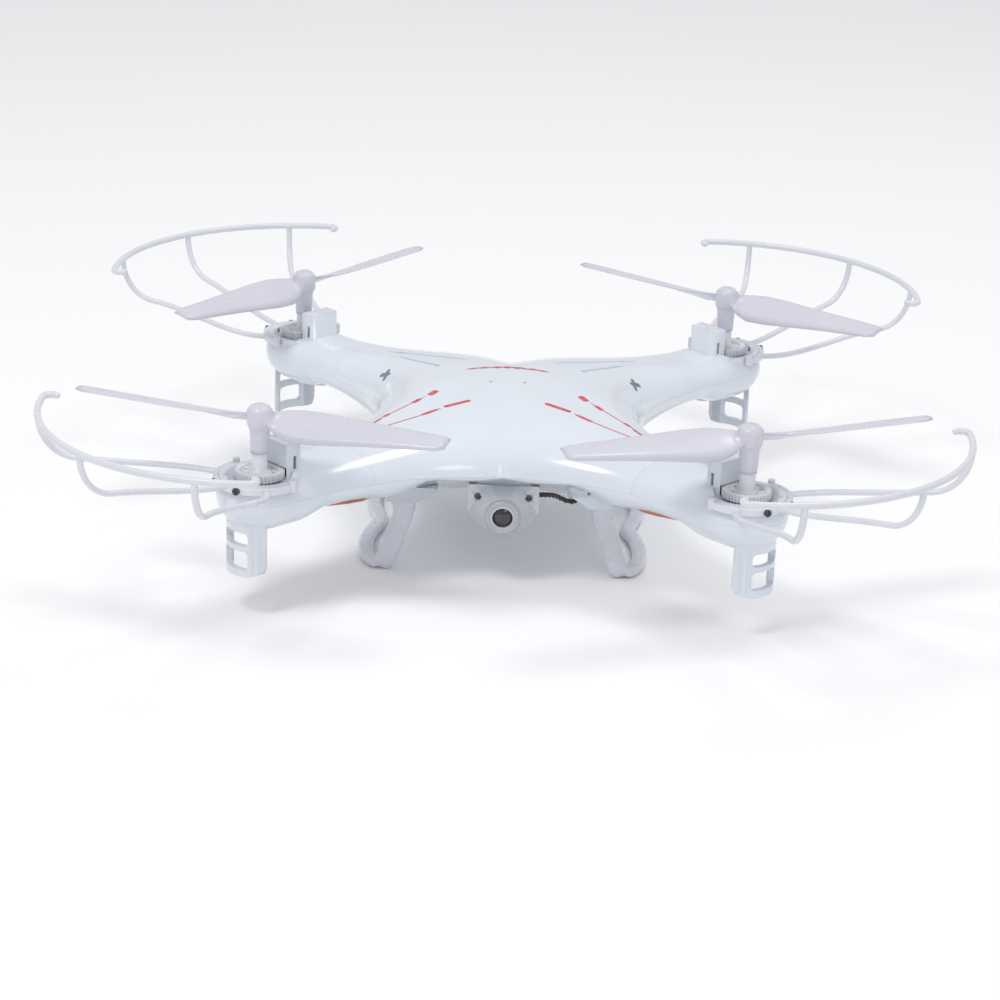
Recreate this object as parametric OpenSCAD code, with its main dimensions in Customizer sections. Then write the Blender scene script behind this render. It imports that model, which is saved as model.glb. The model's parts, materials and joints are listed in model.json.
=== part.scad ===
// Toy quadcopter with a slung camera, geared rotors and clip-on propeller guards.
// Front is -Y, right is +X, up is +Z. The landing skids stand on z = 0.
// Every piece is its own sub-part; set node to one name to see that piece alone.

/* [Layout] */
// distance of each rotor axis from the middle, along X and along Y
rotor_half = 82.3; // [80:0.1:99]
// height of the bottom of the belly above the ground
ground_gap = 24.3; // [22:0.1:30]
// height of the propeller blades above the parting line of the shells
blade_rise = 28; // [26:0.5:34]
// free height under the four feet of the rotor pods
foot_gap = 14.5; // [8:0.5:20]

/* [Body] */
// half width of the body at the notches between front and rear arms
waist_half = 48; // [44:0.5:58]
// half length of the body from the middle to the nose
nose_half = 58; // [56:0.5:62]
// half length of the body from the middle to the tail
tail_half = 57; // [50:0.5:66]
// height of the canopy above the parting line
canopy_rise = 20.5; // [18:0.5:24.6]
// depth of the belly below the parting line
belly_drop = 17.2; // [17:0.1:20]
// how much the belly lifts under the nose
nose_lift = 10; // [6:0.5:11]
// height of the arms above the parting line
arm_rise = 8.5; // [8:0.1:10]
// depth of the arms below the parting line
arm_drop = 8.5; // [8:0.1:10]
// depth of the rotor pods below the parting line
pod_drop = 12; // [11:0.1:14]
// radius of the rotor pods and half width of the arms
pod_r = 14.7; // [14:0.1:17.6]
// wall thickness of the moulded shells
wall = 1.4; // [1.2:0.05:1.7]

/* [Rotors] */
// diameter of the circle that the propeller tips sweep
prop_d = 135; // [112:1:140]
// width of a blade near the hub
blade_w = 17; // [14:0.5:18]
// width of a blade at its tip
blade_tip_w = 10.5; // [8:0.5:12]
// pitch of a blade near the hub, in degrees
root_pitch = 30; // [20:1:34]
// pitch of a blade at its tip, in degrees
tip_pitch = 10; // [6:1:16]
// diameter of the rotor shaft
shaft_d = 2; // [1.5:0.1:2.4]
// module of the gears
gear_module = 0.4; // [0.36:0.01:0.42]
// number of teeth of the main gear
gear_teeth = 41; // [37:2:41]
// number of teeth of the motor pinion
pinion_teeth = 9; // [9:1:10]
// face width of the main gear
gear_w = 2.6; // [2:0.1:3]
// diameter of the motor can
motor_d = 7; // [6:0.1:7.2]
// length of the motor can
motor_len = 14; // [11.5:0.5:14.2]

/* [Guards] */
// free gap between the propeller tips and the guard ring
guard_gap = 6.2; // [4:0.2:9]
// width of the guard ring and of its spokes
guard_w = 2.4; // [2:0.1:3]
// half of the arc that the guard ring spans, in degrees
guard_span = 48; // [40:1:52]
// angle between the middle spoke and the side spokes, in degrees
spoke_angle = 35; // [30:1:38]

/* [Landing skids] */
// distance of each skid leg from the middle, along X
leg_x = 35.5; // [34:0.5:40]
// distance of each skid leg from the middle, along Y
leg_y = 38; // [34:0.5:42]
// width of the skid ribbon
skid_w = 6.6; // [5.6:0.2:8]
// thickness of the skid ribbon
skid_t = 4.2; // [3:0.1:4.6]
// outward bulge of the runner beyond its legs
skid_bulge = 14; // [12:0.5:18]

/* [Camera] */
// width of the camera housing
cam_w = 25; // [23:0.5:28]
// depth of the camera housing from front to back
cam_depth = 17; // [16.6:0.1:20]
// diameter of the lens ring
lens_ring_d = 12.6; // [11:0.2:13]
// diameter of the glass
glass_d = 7.2; // [6:0.2:8]

/* [Battery bay] */
// width of the battery
battery_w = 20; // [18:0.5:24]
// length of the battery
battery_l = 38; // [32:1:40]
// thickness of the battery
battery_t = 9; // [7.5:0.5:10]

/* [Hidden] */
$fn = 64;

// quadrants: front left, front right, rear left, rear right
FL = 0;
FR = 1;
RL = 2;
RR = 3;
sign_x = [-1, 1, -1, 1];
sign_y = [-1, -1, 1, 1];

// heights
seam_z = ground_gap + belly_drop;
blade_z = seam_z + blade_rise;
arm = rotor_half * sqrt(2);
fit_gap = 0.05;

// stations along an arm, from the middle of the body to the rotor axis
cap_g = 0.685 * arm;
pod_g = 0.846 * arm;
lens_from_g = 0.567 * arm;
lens_to_g = 0.825 * arm;
blend_g = 0.6 * arm;
STATIONS_BODY = [0, 0.09 * arm, 0.18 * arm, 0.27 * arm, 0.36 * arm, 0.43 * arm, 0.5 * arm,
                 lens_from_g, 0.626 * arm, cap_g];
STATIONS_ARM = [cap_g, 0.755 * arm, lens_to_g, pod_g];
STATIONS_POD = [pod_g, 0.9 * arm, 0.95 * arm, arm];
ROWS = [0, 0.18, 0.36, 0.52, 0.66, 0.78, 0.88, 0.955, 1];
last_row = len(ROWS) - 1;
arc_steps = 12;
lens_rows = 2;
lens_drop_front = 3.4;
lens_drop_rear = 1.8;
lens_index = len(STATIONS_BODY) - 3;
lens_end_index = len(STATIONS_BODY) + 1;

// gears
gear_centre = gear_module * (gear_teeth + pinion_teeth) / 2;
pressure_angle = 25;
tooth_add = 0.8 * gear_module;
tooth_ded = 1.05 * gear_module;
backlash = 0.1;
gear_tip_r = gear_module * gear_teeth / 2 + tooth_add;
pinion_tip_r = gear_module * pinion_teeth / 2 + tooth_add;

// heights inside a rotor pod
deck_t = 1.2;
deck_z = seam_z + 3.8;
deck_top = deck_z + deck_t;
gear_z = deck_top + 1;
gear_top = gear_z + gear_w;
pinion_z = gear_z - 0.3;
pinion_h = gear_w + 0.6;
pinion_bore = 0.5;
motor_z = deck_z - motor_len;
cup_top = motor_z + 8;
shaft_from = seam_z - pod_drop + 3.4;
shaft_to = blade_z + 2.2;
bore_r = shaft_d / 2 + fit_gap;
collar_r = shaft_d / 2 + 1.7;
collar_top = gear_top + 6;
hub_r = 4.4;
hub_z = blade_z - 3.6;
hub_top = blade_z + 3.4;
rim_r = pod_r - 0.9;
well_r = rim_r - 2.6;
rim_z = seam_z + 6.8;

// the hump over the motor, measured from the rotor axis towards the body
hump_face = 6.4;
hump_back = gear_centre + pinion_tip_r + 1.8;
hump_half = pinion_tip_r + 4.1;
hump_top = seam_z + 17.2;
hump_wall = 1.2;
hump_r = 2.5;
slot_x = 10.3;
slot_z = seam_z + 8;

// guards
guard_r = prop_d / 2 + guard_gap;
guard_z = blade_z + 1.9;
collar_z0 = seam_z + 4.3;
guard_collar_t = 2;
collar_angle = 98;
spoke_root_angle = 60;
collar_mid_r = rim_r + guard_collar_t / 2;
spoke_t = 2;
spoke_bend_r = guard_r - 11.5;
hook_r = 2.6;
hook_turn = 130;
hook_w = guard_w - 0.1;
guard_screw_angle = 22;
guard_screw_r = 0.8;
guard_screw_z = (collar_z0 + rim_z) / 2;

// feet
foot_r = pod_r - 3.5;
foot_t = 2;
foot_angle = 60;
foot_top = seam_z - pod_drop + 4.4;
foot_h = foot_top - foot_gap;
bar_z = foot_gap + 9.2;

// skids and the pads they stand on
leg_top = ground_gap + 1;
pad_x = 12;
pad_y = 9;

// battery bay in the belly
bay_y = 8;
pad_t = 1.6;
pad_z = ground_gap - 1;
door_t = 1.2;
bay_wall = 1.4;
bay_top = pad_z + 8;
battery_z = pad_z + 2.4;
battery_r = 2;
bay_half_x = battery_w / 2 + bay_wall;
bay_half_y = battery_l / 2 + bay_wall;
door_half_x = battery_w / 2 + 0.3;
door_half_y = battery_l / 2 + 0.3;
door_gap = 0.3;
pin_r = 0.6;
pin_x = battery_w / 2 + 1.6;
pin_z = pad_z + 1.3;
barrel_r = 1.3;
barrel_half = battery_l / 2 - 3;
pad_right = pin_x + 3.6;
pad_left = battery_w / 2 + 13.5;
pad_half_y = bay_half_y + 2.6;
switch_x = -battery_w / 2 - 8;
switch_w = 2.6;
switch_l = 3.4;
switch_travel = 4;
flange_w = 4.6;
flange_l = 8;
flange_t = 1.1;

// main board above the battery
board_z = battery_z + battery_t + 1.6;
board_t = 1.2;
board_half_x = 18;
board_half_y = 22;
post_x = 15.5;
post_y = 19;
post_r = 2;

// small light boards over the lenses, and the leads inside the arms
led_g = 0.69 * arm;
led_z = seam_z - 4.5;
led_post = 7.2;
led_post_r = 1.2;
motor_lead_z = seam_z + 0.5;
plug_g = 20;

// screws that hold the two shells together
screw_at_x = 30;
screw_at_y = 22;
screw_g = (screw_at_x + screw_at_y) / sqrt(2);
screw_split_z = seam_z - 1.5;
screw_seat_z = seam_z - 8.5;
screw_shank_r = 1;
screw_head_r = 2;
screw_tube_r = 3.3;

// camera
cam_front_y = 5 - nose_half;
cam_split_y = cam_front_y + 4.6;
cam_back_y = cam_front_y + cam_depth;
cam_slope = 0.4;
cam_top_z = seam_z - 4.5;
cam_bottom_z = seam_z - 22.2;
cam_floor_z = cam_bottom_z - 1;
cam_round_r = cam_w / 2 + 1.7;
cam_wall = 1.2;
cam_pad_half = 9;
lens_z = seam_z - 15.8;
lens_r = lens_ring_d / 2;
barrel_out_r = 4.4;
boss_disc_r = 9.6;
boss_disc_z = lens_z + 2.6;
boss_disc_t = 1.2;
lens_out = 3.4;
cam_board_y = cam_split_y + 3;
cam_board_t = 1.2;
screw_x = cam_w / 2 - 3.6;
screw_z = seam_z - 8.9;
cam_screw_r = 0.7;
cam_screw_back_y = cam_split_y + 2.6;
card_z = lens_z - 2.6;
card_w = 11;
card_t = 1;
card_l = 10.6;
card_out = 1.2;
card_travel = 8;
cam_post_x = 6.4;

// lead from the camera to its socket in the belly
socket_x = 26;
socket_y = -40;
socket_z = seam_z - 11.5;
plug_x = 5;
plug_y = 4;
plug_h = 5;
lead_wire_r = 0.45;
lead_twist_r = 0.54;
lead_turns = 3;
lead_from = [cam_w / 2, cam_split_y - 1.4, seam_z - 8.6];
lead_points = [lead_from, lead_from + [5, 2, -0.4], [19.4, -44.6, seam_z - 11.2],
               [socket_x, socket_y - 0.4, seam_z - 16], [socket_x, socket_y, socket_z - 0.9]];

// ---------- helpers ----------

function smooth(x) = let (c = min(1, max(0, x))) 3 * c * c - 2 * c * c * c;
function rnd(p) = [for (v = p) round(v * 10000) / 10000 + 0];
function mix(a, b, t) = a + (b - a) * t;
function dir_u(q) = [sign_x[q], sign_y[q]] / sqrt(2);
function dir_n(q, side) = side == 0 ? [sign_x[q], -sign_y[q]] / sqrt(2)
                                    : [-sign_x[q], sign_y[q]] / sqrt(2);
function end_half(q, side) =
  side == 0 ? waist_half / sqrt(2) : (sign_y[q] < 0 ? nose_half : tail_half) / sqrt(2);
function along(g, w) = g < blend_g ? w + (blend_g - w) * pow(g / blend_g, blend_g / (blend_g - w))
                                   : g;
function half_width(d, w) =
  pod_r + (w - pod_r) * pow(max(0, 1 - (d - w) / (arm - w)), (arm - w) / (w - pod_r));
function rise(g) = let (t = min(1, g / (0.816 * arm)))
  arm_rise + (canopy_rise - arm_rise) * (1 - 0.5 * t - 0.5 * smooth(t));
function drop(g) = belly_drop + (arm_drop - belly_drop) * smooth((g / arm - 0.26) / 0.5)
                   + (pod_drop - arm_drop) * smooth((g / arm - 0.815) / 0.1);
function lift(p) = nose_lift * smooth((-p[1] - 20) / 34) * smooth((40 - abs(p[0])) / 18);
function end_power(q, side, up) =
  side == 0 ? [2.4, 1.9]
  : sign_y[q] < 0 ? (up ? [2.6, 1.7] : [2, 1.4])
  : (up ? [1.6, 1.2] : [2.4, 1.8]);
function power(q, side, g, up) = mix(end_power(q, side, up), [2.2, 2], smooth(g / blend_g));
function profile(s, e) = s >= 1 ? 0 : pow(1 - pow(s, e[0]), 1 / e[1]);

// one point of the skin: s runs from the spine of the arm to its edge, t insets the skin
function skin_point(q, side, g, s, up, t) =
  let (w = end_half(q, side), d = along(g, w),
       edge = d * dir_u(q) + half_width(d, w) * dir_n(q, side),
       spine = g * dir_u(q), v = edge - spine,
       xy = spine + v * s * (1 - t / norm(v)),
       f = profile(s, power(q, side, g, up)),
       z = up ? seam_z + (rise(g) - t) * f : seam_z - (drop(g) - t - lift(xy)) * f)
  rnd([xy[0], xy[1], z]);
function section(q, g, up, t) = [for (c = [-last_row : last_row])
  skin_point(q, c < 0 ? 0 : 1, g, ROWS[abs(c)], up, t)];
function skin(q, stations, up, t) = [for (g = stations) section(q, g, up, t)];
function round_end(q, up, t) = [for (j = [0 : last_row]) [for (k = [0 : arc_steps])
  let (a = -90 + 180 * k / arc_steps, s = ROWS[j],
       v = (pod_r - t) * s * (cos(a) * dir_u(q) + sin(a) * dir_n(q, 1)),
       p = arm * dir_u(q) + v, f = profile(s, [2.2, 2]))
  rnd([p[0], p[1], up ? seam_z + (rise(arm) - t) * f : seam_z - (drop(arm) - t) * f])]];

// triangles of one patch, without empty ones; hole = [first i, last i, first c, last c]
function tri(a, b, c) = a == b || b == c || a == c ? [] : [[a, b, c]];
function quad(a, b, c, d, f) =
  f ? concat(tri(a, b, c), tri(a, c, d)) : concat(tri(a, c, b), tri(a, d, c));
function inside(i, c, h) = i >= h[0] && i < h[1] && c >= h[2] && c < h[3];
function cells(g, f, hole = [0, 0, 0, 0]) = [
  for (i = [0 : len(g) - 2]) for (c = [0 : len(g[0]) - 2])
    if (!inside(i, c, hole))
      each quad(g[i][c], g[i + 1][c], g[i + 1][c + 1], g[i][c + 1], f)];
function wall_strip(a, b, f) = [
  for (i = [0 : len(a) - 2]) each quad(a[i], a[i + 1], b[i + 1], b[i], f)];
function column(g, c) = [for (row = g) row[c]];
function back(v) = [for (i = [len(v) - 1 : -1 : 0]) v[i]];
function part_of(v, i0, i1) = [for (i = [i0 : i1]) v[i]];
function turned(q, up) = (sign_x[q] * sign_y[q] > 0) != up;

// rim walls along both edges of an arm patch
function rims(o, n, f) = let (e = len(o[0]) - 1) concat(
  wall_strip(column(o, e), column(n, e), f),
  wall_strip(back(column(o, 0)), back(column(n, 0)), f));

module solid_from(t) {
  polyhedron(points = [for (f = t) each f],
             faces = [for (i = [0 : len(t) - 1]) [3 * i, 3 * i + 1, 3 * i + 2]]);
}

// a ribbon swept through points, with a side vector and half sizes at each point
function unit(v) = v / norm(v);
function tangent(p, i) = unit(p[min(i + 1, len(p) - 1)] - p[max(i - 1, 0)]);
function oval(n) = [for (i = [0 : n - 1]) [cos(360 * (i + 0.5) / n), sin(360 * (i + 0.5) / n)]];
function ring_at(p, i, side, hw, ht, shape) =
  let (t = tangent(p, i), a = unit(side - (side * t) * t), b = cross(t, a))
  [for (s = shape) rnd(p[i] + a * s[0] * hw + b * s[1] * ht)];
function tube(p, sides, hw, ht, shape) =
  let (r = [for (i = [0 : len(p) - 1]) ring_at(p, i, sides[i], hw[i], ht[i], shape)],
       n = len(shape), e = len(p) - 1)
  concat(
    [for (i = [0 : e - 1]) for (k = [0 : n - 1])
      each quad(r[i][k], r[i + 1][k], r[i + 1][(k + 1) % n], r[i][(k + 1) % n], true)],
    [for (k = [1 : n - 2]) each tri(r[0][0], r[0][k], r[0][k + 1])],
    [for (k = [1 : n - 2]) each tri(r[e][0], r[e][k + 1], r[e][k])]);
function same(v, n) = [for (i = [0 : n - 1]) v];
function bezier(a, b, c, d, n) = [for (i = [0 : n]) let (t = i / n, m = 1 - t)
  a * m * m * m + b * 3 * m * m * t + c * 3 * m * t * t + d * t * t * t];

// place a child at a rotor, with +X of the child pointing away from the body
module at_rotor(q) {
  translate([sign_x[q] * rotor_half, sign_y[q] * rotor_half, 0])
    rotate([0, 0, atan2(sign_y[q], sign_x[q])])
      children();
}

module tube_z(r_out, r_in, z0, z1) {
  difference() {
    translate([0, 0, z0]) cylinder(r = r_out, h = z1 - z0, $fn = 48);
    translate([0, 0, z0 - 1]) cylinder(r = r_in, h = z1 - z0 + 2, $fn = 48);
  }
}

// ---------- shells ----------

module skin_body(up) {
  s = up ? STATIONS_BODY : concat(STATIONS_BODY, part_of(STATIONS_ARM, 1, 3));
  hole = up ? [0, 0, 0, 0]
            : [lens_index, lens_end_index, last_row - lens_rows, last_row + lens_rows];
  solid_from([for (q = [FL : RR]) each
    let (o = skin(q, s, up, 0), n = skin(q, s, up, wall), f = turned(q, up), e = len(s) - 1)
    concat(cells(o, f, hole), cells(n, !f, hole), rims(o, n, f),
           wall_strip(back(o[e]), back(n[e]), f),
           up ? [] : hole_walls(o, n, f, hole))]);
}

function hole_walls(o, n, f, h) = concat(
  wall_strip(back(part_of(o[h[0]], h[2], h[3])), back(part_of(n[h[0]], h[2], h[3])), f),
  wall_strip(part_of(o[h[1]], h[2], h[3]), part_of(n[h[1]], h[2], h[3]), f),
  wall_strip(part_of(column(o, h[2]), h[0], h[1]), part_of(column(n, h[2]), h[0], h[1]), f),
  wall_strip(back(part_of(column(o, h[3]), h[0], h[1])),
             back(part_of(column(n, h[3]), h[0], h[1])), f));

module slab(x0, x1, y0, y1, z0, z1) {
  translate([x0, y0, z0]) cube([x1 - x0, y1 - y0, z1 - z0]);
}

module for_corners(x, y) {
  for (q = [FL : RR])
    translate([sign_x[q] * x, sign_y[q] * y, 0]) children();
}

module upper_shell() {
  color([0.94, 0.95, 0.96]) {
    difference() {
      union() {
        skin_body(true);
        for_corners(screw_at_x, screw_at_y)
          translate([0, 0, screw_split_z])
            cylinder(r = screw_tube_r - 0.3, h = seam_z + rise(screw_g) * 0.97 - wall / 2 - screw_split_z);
      }
      for_corners(screw_at_x, screw_at_y)
        translate([0, 0, screw_split_z - 1]) cylinder(r = screw_shank_r, h = 9);
    }
  }
}

function cam_plane(y) = cam_top_z - (y - cam_front_y) * cam_slope;

module camera_pad() {
  y0 = cam_front_y + 1;
  y1 = cam_back_y - 1;
  translate([-cam_pad_half, 0, 0])
    rotate([90, 0, 90])
      linear_extrude(height = 2 * cam_pad_half)
        polygon([[y0, cam_plane(y0)], [y1, cam_plane(y1)],
                 [y1, cam_plane(y1) + 4], [y0, cam_plane(y0) + 4]]);
}

module leg_pad(y) {
  translate([leg_x, y + pad_y / 2, leg_top])
    rotate([90, 0, 0])
      linear_extrude(height = pad_y)
        polygon([[-pad_x / 2 + 1, 0], [pad_x / 2, 0], [pad_x / 2, 5.6], [-pad_x, 5.6], [-pad_x, 4.6]]);
}

module lower_shell() {
  led_foot_z = seam_z - (drop(led_g) - wall / 2) * profile(led_post / pod_r, [2.2, 2]);
  color([0.93, 0.94, 0.955]) {
    difference() {
      union() {
        skin_body(false);
        slab(-pad_left, pad_right, bay_y - pad_half_y, bay_y + pad_half_y, pad_z, pad_z + 4);
        slab(-bay_half_x, bay_half_x, bay_y - bay_half_y, bay_y + bay_half_y, pad_z + 1, bay_top);
        for (m = [0, 1]) mirror([m, 0, 0])
          for (y = [-leg_y, leg_y]) leg_pad(y);
        camera_pad();
        for_corners(post_x, post_y)
          translate([0, 0, ground_gap + wall / 2])
            cylinder(r = post_r, h = board_z - ground_gap - wall / 2);
        for (q = [FL : RR])
          at_rotor(q) for (n = [-led_post, led_post])
            translate([led_g - arm, n, led_foot_z]) cylinder(r = led_post_r, h = led_z - led_foot_z);
        for_corners(screw_at_x, screw_at_y)
          translate([0, 0, seam_z - drop(screw_g) * 0.97 + wall / 2])
            cylinder(r = screw_tube_r, h = screw_split_z - seam_z + drop(screw_g) * 0.97 - wall / 2);
        slab(socket_x - plug_x / 2 - 1, socket_x + plug_x / 2 + 1, socket_y - plug_y / 2 - 1,
             socket_y + plug_y / 2 + 1, socket_z, socket_z + plug_h);
      }
      slab(-battery_w / 2, battery_w / 2, bay_y - battery_l / 2, bay_y + battery_l / 2,
           pad_z - 1, bay_top + 1);
      slab(-door_half_x - door_gap, pin_x, bay_y - door_half_y - door_gap,
           bay_y + door_half_y + door_gap, pad_z - 1, pad_z + door_t + 0.1);
      slab(pin_x - barrel_r - door_gap, pin_x + barrel_r + door_gap, bay_y - barrel_half - door_gap,
           bay_y + barrel_half + door_gap, pad_z - 1, pin_z + barrel_r + door_gap);
      translate([pin_x, bay_y - barrel_half - 2.4, pin_z])
        rotate([-90, 0, 0]) cylinder(r = pin_r, h = 2 * barrel_half + 4.8);
      slab(switch_x - switch_w / 2 - 0.2, switch_x + switch_w / 2 + 0.2,
           bay_y - switch_l / 2 - 0.2, bay_y + switch_l / 2 + switch_travel + 0.2, pad_z - 1, pad_z + 3);
      slab(switch_x - flange_w / 2 - 0.2, switch_x + flange_w / 2 + 0.2,
           bay_y - flange_l / 2 - 0.2, bay_y + flange_l / 2 + switch_travel + 0.2,
           pad_z + pad_t, pad_z + pad_t + flange_t + 0.2);
      slab(socket_x - plug_x / 2, socket_x + plug_x / 2, socket_y - plug_y / 2,
           socket_y + plug_y / 2, socket_z - 6, socket_z + plug_h + 1);
      for_corners(screw_at_x, screw_at_y) {
        translate([0, 0, screw_seat_z - 20]) cylinder(r = screw_head_r + 0.2, h = 20);
        translate([0, 0, screw_seat_z - 1]) cylinder(r = screw_shank_r, h = 12);
      }
    }
  }
}

// ---------- rotor pods ----------

module skin_cap(q) {
  s = concat(STATIONS_ARM, part_of(STATIONS_POD, 1, 3));
  o = skin(q, s, true, 0);
  n = skin(q, s, true, wall);
  ro = round_end(q, true, 0);
  ri = round_end(q, true, wall);
  f = turned(q, true);
  solid_from(concat(
    cells(o, f), cells(n, !f), rims(o, n, f), wall_strip(o[0], n[0], f),
    cells(ro, f), cells(ri, !f),
    wall_strip(back(ro[last_row]), back(ri[last_row]), f)));
}

module skin_bowl(q) {
  o = skin(q, STATIONS_POD, false, 0);
  n = skin(q, STATIONS_POD, false, wall);
  ro = round_end(q, false, 0);
  ri = round_end(q, false, wall);
  f = turned(q, false);
  solid_from(concat(
    cells(o, f), cells(n, !f), rims(o, n, f), wall_strip(o[0], n[0], f),
    cells(ro, f), cells(ri, !f),
    wall_strip(back(ro[last_row]), back(ri[last_row]), f)));
}

module hump(inset, z0) {
  x0 = -hump_back + inset;
  x1 = -hump_face - (inset > 0 ? hump_wall : 0);
  h = hump_half - inset;
  top = hump_top - inset;
  r = hump_r - inset;
  translate([0, 0, z0])
    linear_extrude(height = top - z0) {
      translate([x0 + r, -h]) square([x1 - x0 - r, 2 * h]);
      translate([x0, -h + r]) square([r + 0.01, 2 * h - 2 * r]);
      for (y = [-h + r, h - r])
        translate([x0 + r, y]) circle(r = r);
    }
}

module guard_screw_holes(r0, r1) {
  for (a = [-guard_screw_angle, guard_screw_angle])
    rotate([0, 0, a])
      translate([r0, 0, guard_screw_z])
        rotate([0, 90, 0]) cylinder(r = guard_screw_r, h = r1 - r0);
}

module motor_cap(q) {
  color([0.95, 0.955, 0.965]) {
    difference() {
      union() {
        difference() {
          skin_cap(q);
          at_rotor(q) translate([0, 0, deck_top]) cylinder(r = well_r, h = 10);
        }
        at_rotor(q) {
          translate([0, 0, deck_z]) cylinder(r = well_r + 1, h = deck_t);
          tube_z(rim_r, well_r, deck_z, rim_z);
          hump(0, deck_z);
        }
      }
      at_rotor(q) {
        hump(hump_wall, deck_top);
        translate([0, 0, gear_z - 0.5]) cylinder(r = gear_tip_r + 0.5, h = gear_w + 1);
        translate([0, 0, deck_z - 1]) cylinder(r = bore_r, h = 4);
        translate([-gear_centre, 0, deck_z - 1]) cylinder(r = pinion_tip_r + 0.5, h = 4);
        slab(-slot_x - 0.6, -slot_x + 0.6, -hump_half - 1, hump_half + 1, slot_z, slot_z + 4.6);
        guard_screw_holes(well_r - 1, rim_r + 1);
      }
    }
  }
}

module window(z0, z1) {
  r = 1.6;
  half = foot_r * sin(31);
  translate([-half + r, z0]) square([2 * half - 2 * r, z1 - z0]);
  translate([-half, z0 + r]) square([2 * half, z1 - z0 - 2 * r]);
  for (x = [-half + r, half - r]) for (z = [z0 + r, z1 - r])
    translate([x, z]) circle(r = r, $fn = 32);
}

module foot_outline() {
  half = foot_r * sin(foot_angle);
  r = 4.5;
  difference() {
    union() {
      translate([-half + r, foot_gap]) square([2 * half - 2 * r, foot_h]);
      translate([-half, foot_gap + r]) square([2 * half, foot_h - r]);
      for (x = [-half + r, half - r])
        translate([x, foot_gap + r]) circle(r = r, $fn = 48);
    }
    window(foot_gap + 2.6, bar_z);
    window(bar_z + 2, seam_z - pod_drop + 0.8);
  }
}

module foot() {
  intersection() {
    translate([foot_r * 0.4, 0, 0])
      rotate([90, 0, 90])
        linear_extrude(height = foot_r) foot_outline();
    tube_z(foot_r, foot_r - foot_t, foot_gap - 1, foot_gap + foot_h + 1);
  }
}

module pod_base(q) {
  color([0.93, 0.94, 0.955]) {
    difference() {
      union() {
        skin_bowl(q);
        at_rotor(q) {
          foot();
          translate([-gear_centre, 0, seam_z - pod_drop + wall / 2])
            cylinder(r = motor_d / 2 + 1.2, h = cup_top - seam_z + pod_drop - wall / 2);
          translate([0, 0, seam_z - pod_drop + wall / 2])
            cylinder(r = bore_r + 1.6, h = 8);
        }
      }
      at_rotor(q) {
        translate([-gear_centre, 0, motor_z]) cylinder(r = motor_d / 2, h = motor_len);
        translate([0, 0, shaft_from]) cylinder(r = bore_r, h = 12);
      }
    }
  }
}

// ---------- drive ----------

module motor(q) {
  color([0.76, 0.77, 0.79])
    at_rotor(q)
      translate([-gear_centre, 0, 0])
        difference() {
          union() {
            translate([0, 0, motor_z]) cylinder(r = motor_d / 2, h = motor_len, $fn = 48);
            translate([0, 0, deck_z - 0.1]) cylinder(r = 1.3, h = 1.1, $fn = 32);
          }
          translate([0, 0, deck_z - 3]) cylinder(r = pinion_bore + fit_gap, h = 6, $fn = 24);
        }
}

function involute(rb, t) = [rb * (cos(t) + t * PI / 180 * sin(t)),
                            rb * (sin(t) - t * PI / 180 * cos(t))];
function roll_at(rb, r) = sqrt(max(0, pow(r / rb, 2) - 1)) * 180 / PI;
function polar(r, a) = [r * cos(a), r * sin(a)];
function tooth(z, steps) =
  let (rp = gear_module * z / 2, rb = rp * cos(pressure_angle),
       rt = rp + tooth_add, rr = rp - tooth_ded,
       pitch_roll = roll_at(rb, rp),
       p = involute(rb, pitch_roll),
       half = 90 / z - backlash / 2 / rp * 180 / PI / 2 + atan2(p[1], p[0]),
       from = roll_at(rb, max(rb, rr)), to = roll_at(rb, rt),
       flank = [for (i = [0 : steps]) let (v = involute(rb, mix(from, to, i / steps)))
         [norm(v), atan2(v[1], v[0]) - half]])
  concat([polar(rr, -180 / z), polar(rr, min(flank[0][1], -90 / z))],
         [for (v = flank) polar(v[0], v[1])],
         [for (i = [steps : -1 : 0]) polar(flank[i][0], -flank[i][1])],
         [polar(rr, max(-flank[0][1], 90 / z))]);
function gear_outline(z, steps) = [for (k = [0 : z - 1]) for (v = tooth(z, steps))
  let (a = 360 * k / z) [v[0] * cos(a) - v[1] * sin(a), v[0] * sin(a) + v[1] * cos(a)]];

module pinion(q) {
  color([0.83, 0.72, 0.42])
    at_rotor(q)
      translate([-gear_centre, 0, 0]) {
        difference() {
          translate([0, 0, pinion_z])
            linear_extrude(height = pinion_h) polygon(gear_outline(pinion_teeth, 4));
          translate([0, 0, pinion_z - 1]) cylinder(r = pinion_bore, h = pinion_h + 2, $fn = 24);
        }
        translate([0, 0, deck_z - 2.5])
          cylinder(r = pinion_bore, h = pinion_z + pinion_h - deck_z + 3, $fn = 24);
      }
}

module main_gear(q) {
  color([0.86, 0.86, 0.88])
    at_rotor(q)
      difference() {
        union() {
          rotate([0, 0, 180 - 180 / gear_teeth])
            translate([0, 0, gear_z])
              linear_extrude(height = gear_w) polygon(gear_outline(gear_teeth, 3));
          translate([0, 0, deck_top + 0.3])
            cylinder(r = collar_r, h = collar_top - deck_top - 0.3, $fn = 48);
        }
        translate([0, 0, deck_top - 1]) cylinder(r = shaft_d / 2, h = 30, $fn = 32);
        translate([0, 0, gear_z + gear_w - 0.7])
          tube_z(gear_tip_r - 2.2, collar_r + 1.2, 0, 2);
        for (k = [0 : 5])
          rotate([0, 0, 60 * k])
            translate([(gear_tip_r - 2.2 + collar_r + 1.2) / 2, 0, gear_z - 1])
              cylinder(r = 0.7, h = gear_w + 2, $fn = 24);
      }
}

module prop_shaft(q) {
  color([0.72, 0.73, 0.75])
    at_rotor(q)
      translate([0, 0, shaft_from + 0.2])
        cylinder(r = shaft_d / 2, h = shaft_to - shaft_from - 0.2, $fn = 32);
}

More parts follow.
